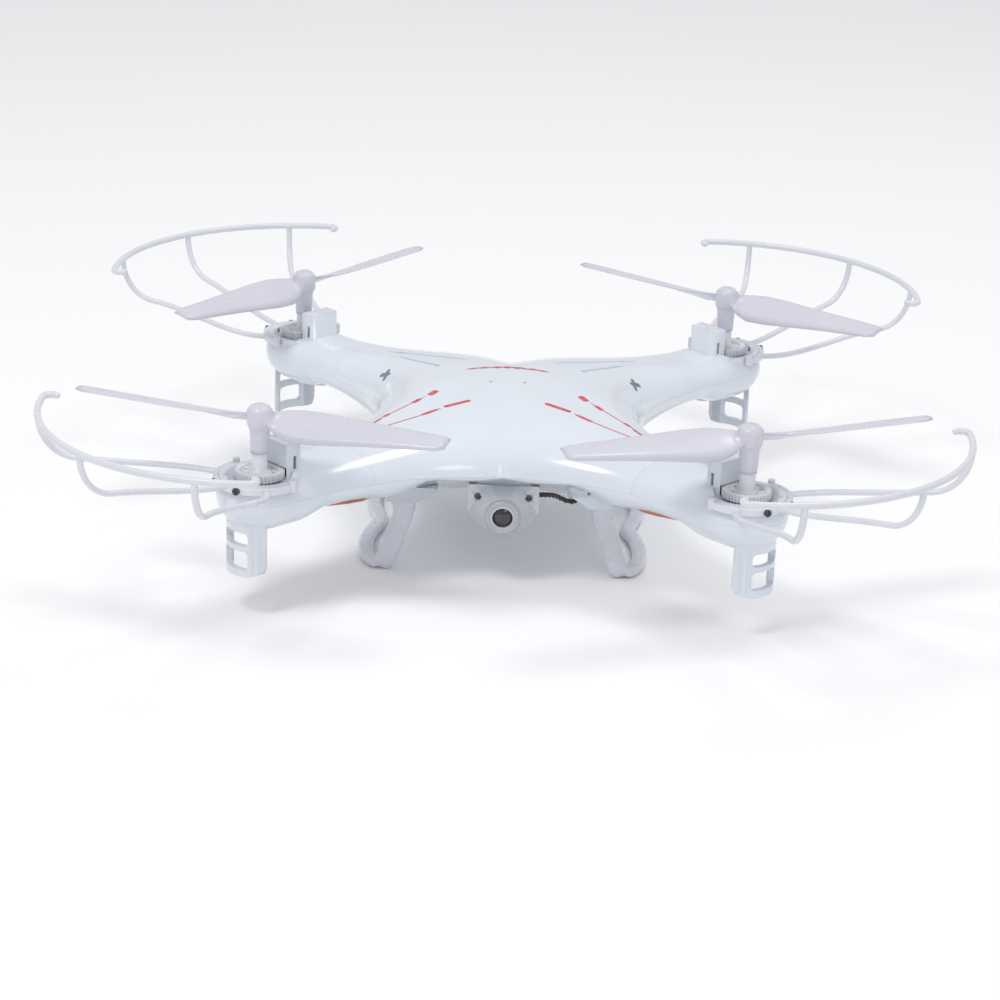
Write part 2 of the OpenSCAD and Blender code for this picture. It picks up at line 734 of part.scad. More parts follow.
// direction of each propeller at rest; the front left and rear right ones turn the other way
prop_angle = [-18.5, 22.6, 52.4, -35.4];
prop_hand = [1, -1, -1, 1];

BLADE_STATIONS = [0.03, 0.12, 0.2, 0.32, 0.46, 0.6, 0.74, 0.87, 0.96, 1];
BLADE_CHORD = [0.28, 0.72, 0.96, 1, 0.93, 0.84, 0.75, 0.67, 0.6, 0.44];
BLADE_SECTION = [[-0.5, 0, 0], [-0.42, 0.034, 1], [-0.25, 0.066, 1], [0, 0.076, 1], [0.27, 0.05, 1],
                 [0.5, 0.006, 1], [0.5, -0.004, -1], [0.27, 0.004, -1], [0, 0.022, -1],
                 [-0.25, 0.016, -1], [-0.42, -0.002, -1]];
blade_skin = 0.35;

function blade_point(i, p, hand) =
  let (t = BLADE_STATIONS[i], r = t * prop_d / 2,
       w = BLADE_CHORD[i] * mix(blade_w, max(blade_tip_w / 0.67, 1), smooth(t)),
       a = mix(root_pitch, tip_pitch, pow(t, 0.7)),
       u = p[0] * w, h = p[1] * w + p[2] * blade_skin)
  rnd([r, hand * -(u * cos(a) + h * sin(a)), h * cos(a) - (u + 0.32 * w) * sin(a)]);

module blade(hand) {
  n = len(BLADE_SECTION);
  e = len(BLADE_STATIONS) - 1;
  r = [for (i = [0 : e]) [for (p = BLADE_SECTION) blade_point(i, p, hand)]];
  f = hand > 0;
  solid_from(concat(
    [for (i = [0 : e - 1]) for (k = [0 : n - 1])
      each quad(r[i][k], r[i + 1][k], r[i + 1][(k + 1) % n], r[i][(k + 1) % n], f)],
    [for (k = [1 : n - 2]) each (f ? tri(r[0][0], r[0][k], r[0][k + 1])
                                   : tri(r[0][0], r[0][k + 1], r[0][k]))],
    [for (k = [1 : n - 2]) each (f ? tri(r[e][0], r[e][k + 1], r[e][k])
                                   : tri(r[e][0], r[e][k], r[e][k + 1]))]));
}

module propeller(q) {
  color([0.87, 0.87, 0.9])
    translate([sign_x[q] * rotor_half, sign_y[q] * rotor_half, 0])
      rotate([0, 0, prop_angle[q]])
        difference() {
          union() {
            for (a = [0, 180])
              rotate([0, 0, a]) translate([0, 0, blade_z]) blade(prop_hand[q]);
            rotate_extrude($fn = 48)
              polygon([[0, collar_top], [collar_r + 0.4, collar_top], [collar_r + 0.8, hub_z - 1.6],
                       [hub_r, hub_z + 0.4], [hub_r, blade_z + 1.6], [hub_r - 1.2, hub_top - 0.4],
                       [hub_r - 2, hub_top], [0, hub_top]]);
          }
          translate([0, 0, collar_top - 1])
            cylinder(r = shaft_d / 2, h = shaft_to - collar_top + 1, $fn = 32);
        }
}

// ---------- guards ----------

GUARD_SECTION = [[-0.5, -0.25], [-0.25, -0.5], [0.25, -0.5], [0.5, -0.25],
                 [0.5, 0.25], [0.25, 0.5], [-0.25, 0.5], [-0.5, 0.25]];

module guard_arc(r, from, to, w) {
  rotate([0, 0, from])
    rotate_extrude(angle = to - from, $fn = 160)
      translate([r, guard_z]) polygon([for (p = GUARD_SECTION) p * w]);
}

module spoke(a0, a1) {
  start = [collar_mid_r * cos(a0), collar_mid_r * sin(a0), guard_screw_z];
  bend = [spoke_bend_r * cos(a1), spoke_bend_r * sin(a1), guard_z - 16];
  end = [guard_r * cos(a1), guard_r * sin(a1), guard_z];
  out = [cos(a1), sin(a1), 0];
  away = [cos(a0), sin(a0), 0];
  p = concat(
    bezier(start, start + away * 16 + [0, 0, 1], bend - out * 18 - [0, 0, 2.6], bend, 8),
    part_of(bezier(bend, bend + out * 7 + [0, 0, 1.4], end - [0, 0, 8], end - [0, 0, 0.4], 6), 1, 6));
  side = [-sin(a1), cos(a1), 0];
  n = len(p);
  solid_from(tube(p, same(side, n), same(guard_w / 2 - 0.1, n), same(spoke_t / 2, n), oval(8)));
}

module prop_guard(q) {
  color([0.95, 0.955, 0.97])
    at_rotor(q)
      difference() {
        union() {
          guard_arc(guard_r, -guard_span, guard_span, guard_w);
          for (m = [0, 1])
            mirror([0, m, 0])
              rotate([0, 0, guard_span])
                translate([guard_r - hook_r, 0, 0])
                  guard_arc(hook_r, -6, hook_turn, hook_w);
          rotate([0, 0, -collar_angle])
            rotate_extrude(angle = 2 * collar_angle, $fn = 96)
              translate([rim_r, collar_z0]) square([guard_collar_t, rim_z - collar_z0]);
          for (a = [-collar_angle, collar_angle])
            rotate([0, 0, a])
              translate([collar_mid_r + 0.5, 0, collar_z0])
                cylinder(r = guard_collar_t / 2 + 0.3, h = rim_z - collar_z0 + 1.2, $fn = 32);
          spoke(0, 0);
          spoke(spoke_root_angle, spoke_angle);
          spoke(-spoke_root_angle, -spoke_angle);
        }
        guard_screw_holes(rim_r - 1, rim_r + guard_collar_t + 1);
        translate([0, 0, collar_z0 - 1]) cylinder(r = rim_r, h = 6, $fn = 96);
      }
}

module guard_screws() {
  color([0.3, 0.31, 0.33])
    for (q = [FL : RR])
      at_rotor(q)
        for (a = [-guard_screw_angle, guard_screw_angle])
          rotate([0, 0, a])
            translate([0, 0, guard_screw_z])
              rotate([0, 90, 0])
                difference() {
                  union() {
                    translate([0, 0, rim_r - 2])
                      cylinder(r = guard_screw_r, h = guard_collar_t + 2, $fn = 24);
                    translate([0, 0, rim_r + guard_collar_t])
                      cylinder(r = 1.3, h = 0.8, $fn = 24);
                  }
                  translate([-0.9, -0.2, rim_r + guard_collar_t + 0.4]) cube([1.8, 0.4, 1]);
                  translate([-0.2, -0.9, rim_r + guard_collar_t + 0.4]) cube([0.4, 1.8, 1]);
                }
}

// ---------- landing skids ----------

SKID_SECTION = [[1, 0.4], [0.6, 1], [-0.6, 1], [-1, 0.4], [-1, -0.4], [-0.6, -1], [0.6, -1], [1, -0.4]];

// one quarter of the runner from the top of a leg to the middle, for the right side
function leg_path() = let (b = skid_bulge, h = skid_t / 2, t = leg_top) [
  [leg_x, leg_y, t], [leg_x, leg_y, t * 0.86], [leg_x + 0.6, leg_y + 0.4, t * 0.7],
  [leg_x + b * 0.19, leg_y + 1.5, t * 0.5], [leg_x + b * 0.31, leg_y + 3, t * 0.29],
  [leg_x + b * 0.4, leg_y + 3.7, h + 2], [leg_x + b * 0.5, leg_y + 3.9, h + 0.6],
  [leg_x + b * 0.63, leg_y + 3.3, h], [leg_x + b * 0.78, leg_y + 1.4, h],
  [leg_x + b * 0.9, leg_y - 2.4, h], [leg_x + b * 0.98, leg_y - 8, h],
  [leg_x + b, leg_y - 15, h], [leg_x + b * 0.97, leg_y - 21.5, h],
  [leg_x + b * 0.9, leg_y - 27.5, h], [leg_x + b * 0.79, leg_y - 33, h]];

module landing_skid(side) {
  a = leg_path();
  m = [[leg_x + skid_bulge * 0.73, 0, skid_t / 2]];
  half = [for (p = concat(a, m)) [side * p[0], p[1], p[2]]];
  p = concat(half, [for (i = [len(a) - 1 : -1 : 0]) [half[i][0], -half[i][1], half[i][2]]]);
  n = len(p);
  flare = [for (i = [0 : n - 1]) let (e = min(i, n - 1 - i)) e == 0 ? 1.5 : e == 1 ? 1.15 : 1];
  color([0.92, 0.93, 0.95])
    solid_from(tube(p, same([1, 0, 0], n), [for (v = flare) v * skid_w / 2],
                    [for (v = flare) v * skid_t / 2], SKID_SECTION));
}

// ---------- lights ----------

function lens_rise(i, c) = [0, 0.8, 1, 0.8, 0][i] * [0, 0.8, 1, 0.8, 0][c];

module led_lens(q) {
  s = concat(STATIONS_BODY, part_of(STATIONS_ARM, 1, 3));
  h = [lens_index, lens_end_index, last_row - lens_rows, last_row + lens_rows];
  o = skin(q, s, false, 0);
  n = skin(q, s, false, wall);
  f = turned(q, false);
  bulge = sign_y[q] < 0 ? lens_drop_front : lens_drop_rear;
  outer = [for (i = [h[0] : h[1]]) [for (c = [h[2] : h[3]])
    o[i][c] - [0, 0, bulge * lens_rise(i - h[0], c - h[2])]]];
  inner = [for (i = [h[0] : h[1]]) part_of(n[i], h[2], h[3])];
  color(sign_y[q] < 0 ? [0.98, 0.72, 0.34] : [0.55, 0.9, 0.66])
    solid_from(concat(cells(outer, f), cells(inner, !f), hole_walls(o, n, !f, h)));
}

module led_boards() {
  color([0.16, 0.42, 0.27])
    for (q = [FL : RR])
      at_rotor(q)
        translate([led_g - arm, 0, led_z]) {
          slab(-4, 4, -led_post - 1.6, led_post + 1.6, 0, 1);
          slab(-1.7, 1.7, -1.7, 1.7, -0.8, 0.01);
          slab(-3, -1.6, 3, 5, 0.99, 1.7);
        }
}

// ---------- electronics ----------

module main_board() {
  color([0.13, 0.36, 0.24])
    difference() {
      translate([0, 0, board_z]) {
        slab(-board_half_x, board_half_x, -board_half_y, board_half_y, 0, board_t);
        slab(-5, 4, -6, 3, board_t - 0.01, board_t + 1.1);
        slab(6, 11, 1, 7, board_t - 0.01, board_t + 0.9);
        slab(-11, -6, 2, 10, board_t - 0.01, board_t + 2.2);
        slab(-2, 3, 7, 9.4, board_t - 0.01, board_t + 1.4);
        slab(7, 10, -12, -7, board_t - 0.01, board_t + 1.2);
        translate([-9, -9, board_t - 0.01]) cylinder(r = 2.4, h = 4.4, $fn = 48);
        translate([0, 14, board_t - 0.01]) cylinder(r = 1.8, h = 3.4, $fn = 48);
      }
      for_corners(post_x, post_y)
        translate([0, 0, board_z - 1]) cylinder(r = 0.8, h = board_t + 2, $fn = 24);
    }
}

module battery() {
  h = battery_w / 2 - battery_r;
  color([0.3, 0.46, 0.74]) {
    translate([0, bay_y + battery_l / 2, battery_z])
      rotate([90, 0, 0])
        linear_extrude(height = battery_l) {
          translate([-h, 0]) square([2 * h, battery_t]);
          translate([-h - battery_r, battery_r])
            square([battery_w, battery_t - 2 * battery_r]);
          for (x = [-h, h]) for (z = [battery_r, battery_t - battery_r])
            translate([x, z]) circle(r = battery_r, $fn = 48);
        }
  }
}

module wire(p, r, sides) {
  n = len(p);
  solid_from(tube(p, same([0.02, 0.01, 1], n), same(r, n), same(r, n), oval(sides)));
}

module battery_lead() {
  y0 = bay_y + battery_l / 2;
  z0 = battery_z + battery_t - 1.6;
  color([0.75, 0.14, 0.12]) {
    for (x = [-3.2, -1.6])
      wire(bezier([x, y0, z0], [x, y0 + 6, z0], [x, y0 + 4, board_z + 2.6],
                  [x, board_half_y - 1, board_z + 2.6], 10), 0.6, 8);
    slab(-5, 0.2, board_half_y - 5, board_half_y - 1, board_z + board_t, board_z + board_t + 3.4);
  }
}

module battery_door() {
  near = pin_x - barrel_r - door_gap;
  color([0.9, 0.91, 0.93])
    difference() {
      union() {
        slab(-door_half_x, near, bay_y - door_half_y, bay_y + door_half_y, pad_z, pad_z + door_t);
        slab(near - 0.1, pin_x, bay_y - barrel_half, bay_y + barrel_half, pad_z, pad_z + door_t);
        translate([pin_x, bay_y - barrel_half, pin_z])
          rotate([-90, 0, 0]) cylinder(r = barrel_r, h = 2 * barrel_half, $fn = 48);
      }
      translate([pin_x, bay_y - barrel_half - 1, pin_z])
        rotate([-90, 0, 0]) cylinder(r = pin_r + fit_gap, h = 2 * barrel_half + 2, $fn = 32);
      for (k = [0 : 2])
        slab(-door_half_x + 2 + 1.6 * k, -door_half_x + 2.8 + 1.6 * k, bay_y - 6, bay_y + 6,
             pad_z - 1, pad_z + 0.5);
    }
}

module door_pin() {
  color([0.7, 0.71, 0.73])
    translate([pin_x, bay_y - barrel_half - 2.4, pin_z])
      rotate([-90, 0, 0]) cylinder(r = pin_r, h = 2 * barrel_half + 4.8, $fn = 32);
}

module power_switch() {
  z = pad_z + pad_t + 0.1;
  color([0.15, 0.15, 0.17])
    difference() {
      union() {
        slab(switch_x - flange_w / 2, switch_x + flange_w / 2, bay_y - flange_l / 2,
             bay_y + flange_l / 2, z, z + flange_t - 0.1);
        slab(switch_x - switch_w / 2, switch_x + switch_w / 2, bay_y - switch_l / 2,
             bay_y + switch_l / 2, pad_z - 1.2, z + 0.1);
      }
      for (k = [-1 : 1])
        slab(switch_x - 3, switch_x + 3, bay_y + k - 0.2, bay_y + k + 0.2, pad_z - 2, pad_z - 0.8);
    }
}

module shell_screws() {
  color([0.36, 0.37, 0.4])
    for_corners(screw_at_x, screw_at_y)
      difference() {
        union() {
          translate([0, 0, screw_seat_z - 1.4]) cylinder(r = screw_head_r, h = 1.4, $fn = 32);
          translate([0, 0, screw_seat_z]) cylinder(r = screw_shank_r, h = 11, $fn = 24);
        }
        slab(-1.4, 1.4, -0.3, 0.3, screw_seat_z - 2, screw_seat_z - 0.8);
        slab(-0.3, 0.3, -1.4, 1.4, screw_seat_z - 2, screw_seat_z - 0.8);
      }
}

module motor_wire(n, bow, z) {
  from = [-gear_centre - motor_d / 2 + 0.12, n, motor_lead_z];
  half = [screw_g + 8 - arm, bow, seam_z];
  to = [plug_g + 2 - arm, n, z];
  wire(concat(bezier(from, from - [6, 0, 0], half + [12, 0, 0], half, 10),
              part_of(bezier(half, half - [8, 0, 0], to + [6, 0, 0], to, 8), 1, 8)), 0.5, 8);
}

module motor_leads() {
  z1 = board_z + board_t;
  color([0.2, 0.25, 0.55])
    for (q = [FL : RR])
      at_rotor(q) {
        for (n = [-0.7, 0.7])
          motor_wire(n, n + 2.6 * sign_x[q] * sign_y[q], z1 + 1.4);
        translate([plug_g - arm, 0, z1]) slab(-2, 2, -2.4, 2.4, 0, 2.8);
      }
}

// ---------- camera ----------

module camera_outline(inset, y0, y1) {
  h = cam_w / 2 - inset;
  intersection() {
    translate([0, y1, cam_bottom_z + cam_round_r])
      rotate([90, 0, 0]) cylinder(r = cam_round_r - inset, h = y1 - y0, $fn = 96);
    slab(-h, h, y0 - 1, y1 + 1, cam_floor_z, cam_top_z + 4);
    translate([-cam_w, 0, 0])
      rotate([90, 0, 90])
        linear_extrude(height = 2 * cam_w)
          polygon([[y0 - 1, cam_floor_z], [y1 + 1, cam_floor_z],
                   [y1 + 1, cam_plane(y1 + 1) - inset], [y0 - 1, cam_plane(y0 - 1) - inset]]);
  }
}

module along_y(x, z, y0, y1, r) {
  translate([x, y1, z]) rotate([90, 0, 0]) cylinder(r = r, h = y1 - y0, $fn = 48);
}

module camera_front() {
  color([0.95, 0.955, 0.965])
    difference() {
      union() {
        difference() {
          camera_outline(0, cam_front_y, cam_split_y);
          camera_outline(cam_wall, cam_front_y + cam_wall, cam_split_y + 1);
        }
        intersection() {
          along_y(0, boss_disc_z, cam_front_y - boss_disc_t, cam_front_y + 0.5, boss_disc_r);
          camera_outline(0.4, cam_front_y - boss_disc_t - 1, cam_split_y);
        }
        along_y(0, lens_z, cam_front_y - lens_out + 0.6, cam_front_y + 3, barrel_out_r);
        for (s = [-1, 1]) {
          along_y(s * screw_x, screw_z, cam_front_y + 0.5, cam_split_y, 1.8);
          along_y(s * cam_post_x, lens_z + 1, cam_front_y + 0.5, cam_board_y, 1);
        }
      }
      along_y(0, lens_z, cam_front_y - lens_out - 1, cam_board_y, glass_d / 2);
      for (s = [-1, 1]) {
        along_y(s * screw_x, screw_z, cam_front_y - 1, cam_split_y + 1, cam_screw_r);
        along_y(s * screw_x, screw_z, cam_front_y - 3, cam_front_y + 0.8, 1.3);
      }
    }
}

module camera_rear() {
  color([0.95, 0.955, 0.965])
    difference() {
      union() {
        difference() {
          camera_outline(0, cam_split_y, cam_back_y);
          camera_outline(cam_wall, cam_split_y - 1, cam_back_y - cam_wall);
        }
        intersection() {
          slab(-card_w / 2 - 1.4, card_w / 2 + 1.4, cam_board_y + cam_board_t + 0.4, cam_back_y - 0.5,
               cam_floor_z, card_z - card_t / 2 - 0.1);
          camera_outline(0.5, cam_split_y, cam_back_y);
        }
        for (s = [-1, 1])
          intersection() {
            along_y(s * screw_x, screw_z, cam_split_y, cam_screw_back_y + 0.8, 1.8);
            camera_outline(0.5, cam_split_y, cam_back_y);
          }
      }
      for (s = [-1, 1])
        along_y(s * screw_x, screw_z, cam_split_y - 1, cam_screw_back_y, cam_screw_r);
      slab(-card_w / 2 - 0.2, card_w / 2 + 0.2, cam_back_y - 3, cam_back_y + 1,
           card_z - card_t / 2 - 0.1, card_z + card_t / 2 + 0.2);
    }
}

module lens_ring() {
  y = cam_front_y - boss_disc_t;
  color([0.86, 0.87, 0.89])
    translate([0, y, lens_z])
      rotate([90, 0, 0])
        rotate_extrude($fn = 96)
          polygon([[barrel_out_r, 0], [lens_r, 0], [lens_r, lens_out - boss_disc_t - 1],
                   [lens_r - 0.8, lens_out - boss_disc_t - 0.2],
                   [barrel_out_r, lens_out - boss_disc_t - 0.6]]);
}

module lens_glass() {
  y = cam_front_y - boss_disc_t;
  color([0.07, 0.08, 0.12])
    translate([0, y, lens_z])
      rotate([90, 0, 0])
        rotate_extrude($fn = 96)
          polygon([[0, -1.4], [glass_d / 2, -1.4], [glass_d / 2, 0.5], [glass_d * 0.42, 0.9],
                   [glass_d * 0.3, 1.25], [glass_d * 0.16, 1.45], [0, 1.5]]);
}

module camera_board() {
  color([0.12, 0.33, 0.22]) {
    difference() {
      slab(-8, 8, cam_board_y, cam_board_y + cam_board_t, lens_z - 1.6, lens_z + 5);
      slab(3, 5, cam_board_y - 1, cam_board_y + 3, lens_z + 4, lens_z + 6);
    }
    along_y(0, lens_z + 0.4, cam_board_y - 2, cam_board_y + 0.01, 1.9);
    slab(-3, 3, cam_board_y + cam_board_t - 0.01, cam_board_y + cam_board_t + 1, lens_z, lens_z + 4);
  }
}

module camera_screws() {
  color([0.32, 0.33, 0.35])
    for (s = [-1, 1])
      difference() {
        union() {
          along_y(s * screw_x, screw_z, cam_front_y + 0.1, cam_front_y + 0.8, 1.3);
          along_y(s * screw_x, screw_z, cam_front_y + 0.7, cam_screw_back_y, cam_screw_r);
        }
        translate([s * screw_x, cam_front_y, screw_z]) {
          slab(-0.9, 0.9, -1, 0.5, -0.2, 0.2);
          slab(-0.2, 0.2, -1, 0.5, -0.9, 0.9);
        }
      }
}

module memory_card() {
  y1 = cam_back_y + card_out;
  color([0.1, 0.1, 0.12])
    difference() {
      slab(-card_w / 2, card_w / 2, y1 - card_l, y1, card_z - card_t / 2, card_z + card_t / 2);
      translate([card_w / 2, y1 - card_l, card_z - 2])
        rotate([0, 0, 45]) cube([1.6, 1.6, 4], center = false);
      slab(-3, 3, y1 - 0.9, y1 - 0.4, card_z + card_t / 2 - 0.2, card_z + 2);
    }
}

function lead_path() = concat(
  bezier(lead_points[0], lead_points[0] + [2.6, 0, 0], lead_points[1], lead_points[2], 10),
  part_of(bezier(lead_points[2], lead_points[2] + 0.5 * (lead_points[2] - lead_points[1]),
                 lead_points[3], lead_points[4], 8), 1, 8));

module camera_lead() {
  p = lead_path();
  n = len(p);
  side = [0, 0.1, 1];
  for (w = [0 : 2])
    color([[0.09, 0.09, 0.1], [0.55, 0.13, 0.1], [0.9, 0.9, 0.9]][w])
      wire([for (i = [0 : n - 1])
        let (t = tangent(p, i), a = unit(side - (side * t) * t), b = cross(t, a),
             e = 360 * (w / 3 + lead_turns * i / (n - 1)))
        p[i] + lead_twist_r * (a * cos(e) + b * sin(e))], lead_wire_r, 8);
  color([0.93, 0.93, 0.9])
    slab(socket_x - plug_x / 2, socket_x + plug_x / 2, socket_y - plug_y / 2, socket_y + plug_y / 2,
         socket_z - 0.9, socket_z + plug_h - 1);
}

upper_shell();
lower_shell();
motor_cap(FL);  // motor_cap_fl
motor_cap(FR);  // motor_cap_fr
motor_cap(RL);  // motor_cap_rl
motor_cap(RR);  // motor_cap_rr
pod_base(FL);  // pod_base_fl
pod_base(FR);  // pod_base_fr
pod_base(RL);  // pod_base_rl
pod_base(RR);  // pod_base_rr
motor(FL);  // motor_fl
motor(FR);  // motor_fr
motor(RL);  // motor_rl
motor(RR);  // motor_rr
pinion(FL);  // pinion_fl
pinion(FR);  // pinion_fr
pinion(RL);  // pinion_rl
pinion(RR);  // pinion_rr
main_gear(FL);  // main_gear_fl
main_gear(FR);  // main_gear_fr
main_gear(RL);  // main_gear_rl
main_gear(RR);  // main_gear_rr
prop_shaft(FL);  // prop_shaft_fl
prop_shaft(FR);  // prop_shaft_fr
prop_shaft(RL);  // prop_shaft_rl
prop_shaft(RR);  // prop_shaft_rr
propeller(FL);  // propeller_fl
propeller(FR);  // propeller_fr
propeller(RL);  // propeller_rl
propeller(RR);  // propeller_rr
prop_guard(FL);  // prop_guard_fl
prop_guard(FR);  // prop_guard_fr
prop_guard(RL);  // prop_guard_rl
prop_guard(RR);  // prop_guard_rr
guard_screws();
landing_skid(-1);  // landing_skid_left
landing_skid(1);  // landing_skid_right
led_lens(FL);  // led_lens_fl
led_lens(FR);  // led_lens_fr
led_lens(RL);  // led_lens_rl
led_lens(RR);  // led_lens_rr
led_boards();
main_board();
battery();
battery_lead();
battery_door();
door_pin();
power_switch();
camera_front();
camera_rear();
lens_ring();
lens_glass();
camera_board();
camera_screws();
memory_card();
camera_lead();
shell_screws();
motor_leads();
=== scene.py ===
"""Looks of a small quadcopter drone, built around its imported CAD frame.

The drone's lengths below are in mm. The camera, lights, floor and material scales are in metres.
"""
import json
import math

import bmesh
import bpy
import numpy as np
from mathutils import Matrix, Vector
from mathutils.bvhtree import BVHTree


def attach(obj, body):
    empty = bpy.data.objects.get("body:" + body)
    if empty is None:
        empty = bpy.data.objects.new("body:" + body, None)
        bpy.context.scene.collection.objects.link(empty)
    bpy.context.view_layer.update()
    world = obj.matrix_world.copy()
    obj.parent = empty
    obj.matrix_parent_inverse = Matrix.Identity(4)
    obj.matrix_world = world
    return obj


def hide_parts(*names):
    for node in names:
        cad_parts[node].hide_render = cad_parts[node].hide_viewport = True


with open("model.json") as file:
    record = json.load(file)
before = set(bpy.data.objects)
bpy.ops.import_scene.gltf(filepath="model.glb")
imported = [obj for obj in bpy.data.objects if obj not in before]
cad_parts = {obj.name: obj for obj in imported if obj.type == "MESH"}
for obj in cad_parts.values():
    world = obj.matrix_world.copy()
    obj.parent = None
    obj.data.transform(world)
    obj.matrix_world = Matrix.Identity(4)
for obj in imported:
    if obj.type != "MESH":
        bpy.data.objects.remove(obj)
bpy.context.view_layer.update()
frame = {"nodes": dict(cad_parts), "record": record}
MM = 0.001

CORNERS = ("fl", "fr", "rl", "rr")
SIGN = {"fl": (-1, -1), "fr": (1, -1), "rl": (-1, 1), "rr": (1, 1)}

# main sizes of the aircraft, the same as in the CAD
ROTOR_HALF = 82.3
ARM = ROTOR_HALF * math.sqrt(2)
SEAM_Z = 41.5
POD_R = 14.7
WAIST, NOSE, TAIL = 48.0, 58.0, 57.0
CANOPY_RISE, BELLY_DROP, NOSE_LIFT = 20.5, 17.2, 10.0
ARM_RISE, ARM_DROP, POD_DROP = 8.5, 8.5, 12.0
BLEND_G = 0.6 * ARM
GUARD_R, GUARD_Z, GUARD_SPAN, GUARD_W = 73.7, 71.4, 48.0, 2.4
HOOK_R, HOOK_TURN = 2.6, 130.0
COLLAR_R, COLLAR_LOW, COLLAR_HIGH, COLLAR_ANGLE = 14.8, 45.8, 48.3, 98.0
COLLAR_T = 2.0
SPOKE_ROOT, SPOKE_ANGLE, SPOKE_BEND_R = 60.0, 35.0, 62.2
LEG_X, LEG_Y, LEG_TOP, SKID_W, SKID_T, SKID_BULGE = 35.5, 38.0, 25.3, 6.6, 4.2, 14.0

# how far from the middle line the skin's normals are levelled
MIDDLE_BLEND = 18.0
# widths of the skid's legs and runner, as shares of the CAD ribbon's width
LEG_SHARE, RUNNER_SHARE = 1.1, 0.8

# the view: where the camera stands, its yaw, pitch and roll in degrees, and its lens in mm
CAMERA_PLACE = (0.01189, -0.98936, 0.37873)
CAMERA_TURN = (-0.797, 20.344, 2.059)
CAMERA_LENS, SENSOR_WIDTH = 102.92, 36

# edges of the shell's skin longer than the first of these are halved, then those longer than the next
SKIN_EDGES = (4.5, 2.6)
# how near the loft a face's middle counts as skin, and a corner is drawn onto it
SKIN_REACH, SNAP_REACH = 0.4, 0.3


# ---------- camera ----------

def make_camera():
    yaw, pitch, roll = (math.radians(a) for a in CAMERA_TURN)
    level = math.cos(pitch)
    ahead = Vector((math.sin(yaw) * level, math.cos(yaw) * level, -math.sin(pitch)))
    side = Vector((math.cos(yaw), -math.sin(yaw), 0))
    above = side.cross(ahead)
    right = side * math.cos(roll) + above * math.sin(roll)
    up = above * math.cos(roll) - side * math.sin(roll)
    data = bpy.data.cameras.new("camera")
    data.sensor_width = SENSOR_WIDTH
    data.lens = CAMERA_LENS
    data.clip_start, data.clip_end = 0.05, 20
    cam = bpy.data.objects.new("camera", data)
    cam.matrix_world = Matrix((
        (right.x, up.x, -ahead.x, CAMERA_PLACE[0]),
        (right.y, up.y, -ahead.y, CAMERA_PLACE[1]),
        (right.z, up.z, -ahead.z, CAMERA_PLACE[2]),
        (0, 0, 0, 1)))
    bpy.context.scene.collection.objects.link(cam)
    bpy.context.scene.camera = cam


# ---------- the shell's form: a loft along each arm ----------

def smooth(x):
    x = np.clip(x, 0, 1)
    return 3 * x * x - 2 * x ** 3


def along(g, w):
    return np.where(g < BLEND_G, w + (BLEND_G - w) * (g / BLEND_G) ** (BLEND_G / (BLEND_G - w)), g)


def half_width(d, w):
    left = np.clip(1 - (d - w) / (ARM - w), 0, None)
    return POD_R + (w - POD_R) * left ** ((ARM - w) / (w - POD_R))


def rise(g):
    t = np.clip(g / (0.816 * ARM), 0, 1)
    return ARM_RISE + (CANOPY_RISE - ARM_RISE) * (1 - 0.5 * t - 0.5 * smooth(t))


def drop(g):
    belly = (ARM_DROP - BELLY_DROP) * smooth((g / ARM - 0.26) / 0.5)
    return BELLY_DROP + belly + (POD_DROP - ARM_DROP) * smooth((g / ARM - 0.815) / 0.1)


def lift(x, y):
    return NOSE_LIFT * smooth((-y - 20) / 34) * smooth((40 - np.abs(x)) / 18)


def end_power(front, side, up):
    if side == 0:
        return 2.4, 1.9
    if front:
        return (2.6, 1.7) if up else (2.0, 1.4)
    return (1.6, 1.2) if up else (2.4, 1.8)


def profile(s, p0, p1):
    return np.clip(1 - s ** p0, 0, 1) ** (1 / p1)


def arm_sheet(corner, up):
    """Points of the outer skin along one arm, stations by rows, and then round the pod."""
    sx, sy = SIGN[corner]
    u = np.array([sx, sy]) / math.sqrt(2)
    g = np.linspace(0, ARM, 90)[:, None]
    s = np.sin(np.linspace(0, math.pi / 2, 30))[None, :]
    halves = []
    for side in (0, 1):
        n = np.array([sx, -sy] if side == 0 else [-sx, sy]) / math.sqrt(2)
        w = (WAIST if side == 0 else (NOSE if sy < 0 else TAIL)) / math.sqrt(2)
        d = along(g, w)
        edge = d[..., None] * u + half_width(d, w)[..., None] * n
        spine = g[..., None] * u
        xy = spine + (edge - spine) * s[..., None]
        e0, e1 = end_power(sy < 0, side, up)
        t = smooth(g / BLEND_G)
        f = profile(s, e0 + (2.2 - e0) * t, e1 + (2 - e1) * t)
        if up:
            z = SEAM_Z + rise(g) * f
        else:
            z = SEAM_Z - (drop(g) - lift(xy[..., 0], xy[..., 1])) * f
        halves.append(np.concatenate([xy, z[..., None]], -1))
    sheet = np.concatenate([halves[0][:, ::-1], halves[1][:, 1:]], 1)
    turn = np.radians(np.linspace(-90, 90, 40))[:, None]
    n = np.array([-sx, sy]) / math.sqrt(2)
    out = np.cos(turn)[..., None] * u + np.sin(turn)[..., None] * n
    xy = ARM * u + POD_R * s[..., None] * out
    f = profile(s, 2.2, 2)
    tall = float(rise(np.array(ARM)) if up else -drop(np.array(ARM)))
    z = SEAM_Z + tall * f * np.ones_like(turn)
    return [sheet, np.concatenate([xy, z[..., None]], -1)]


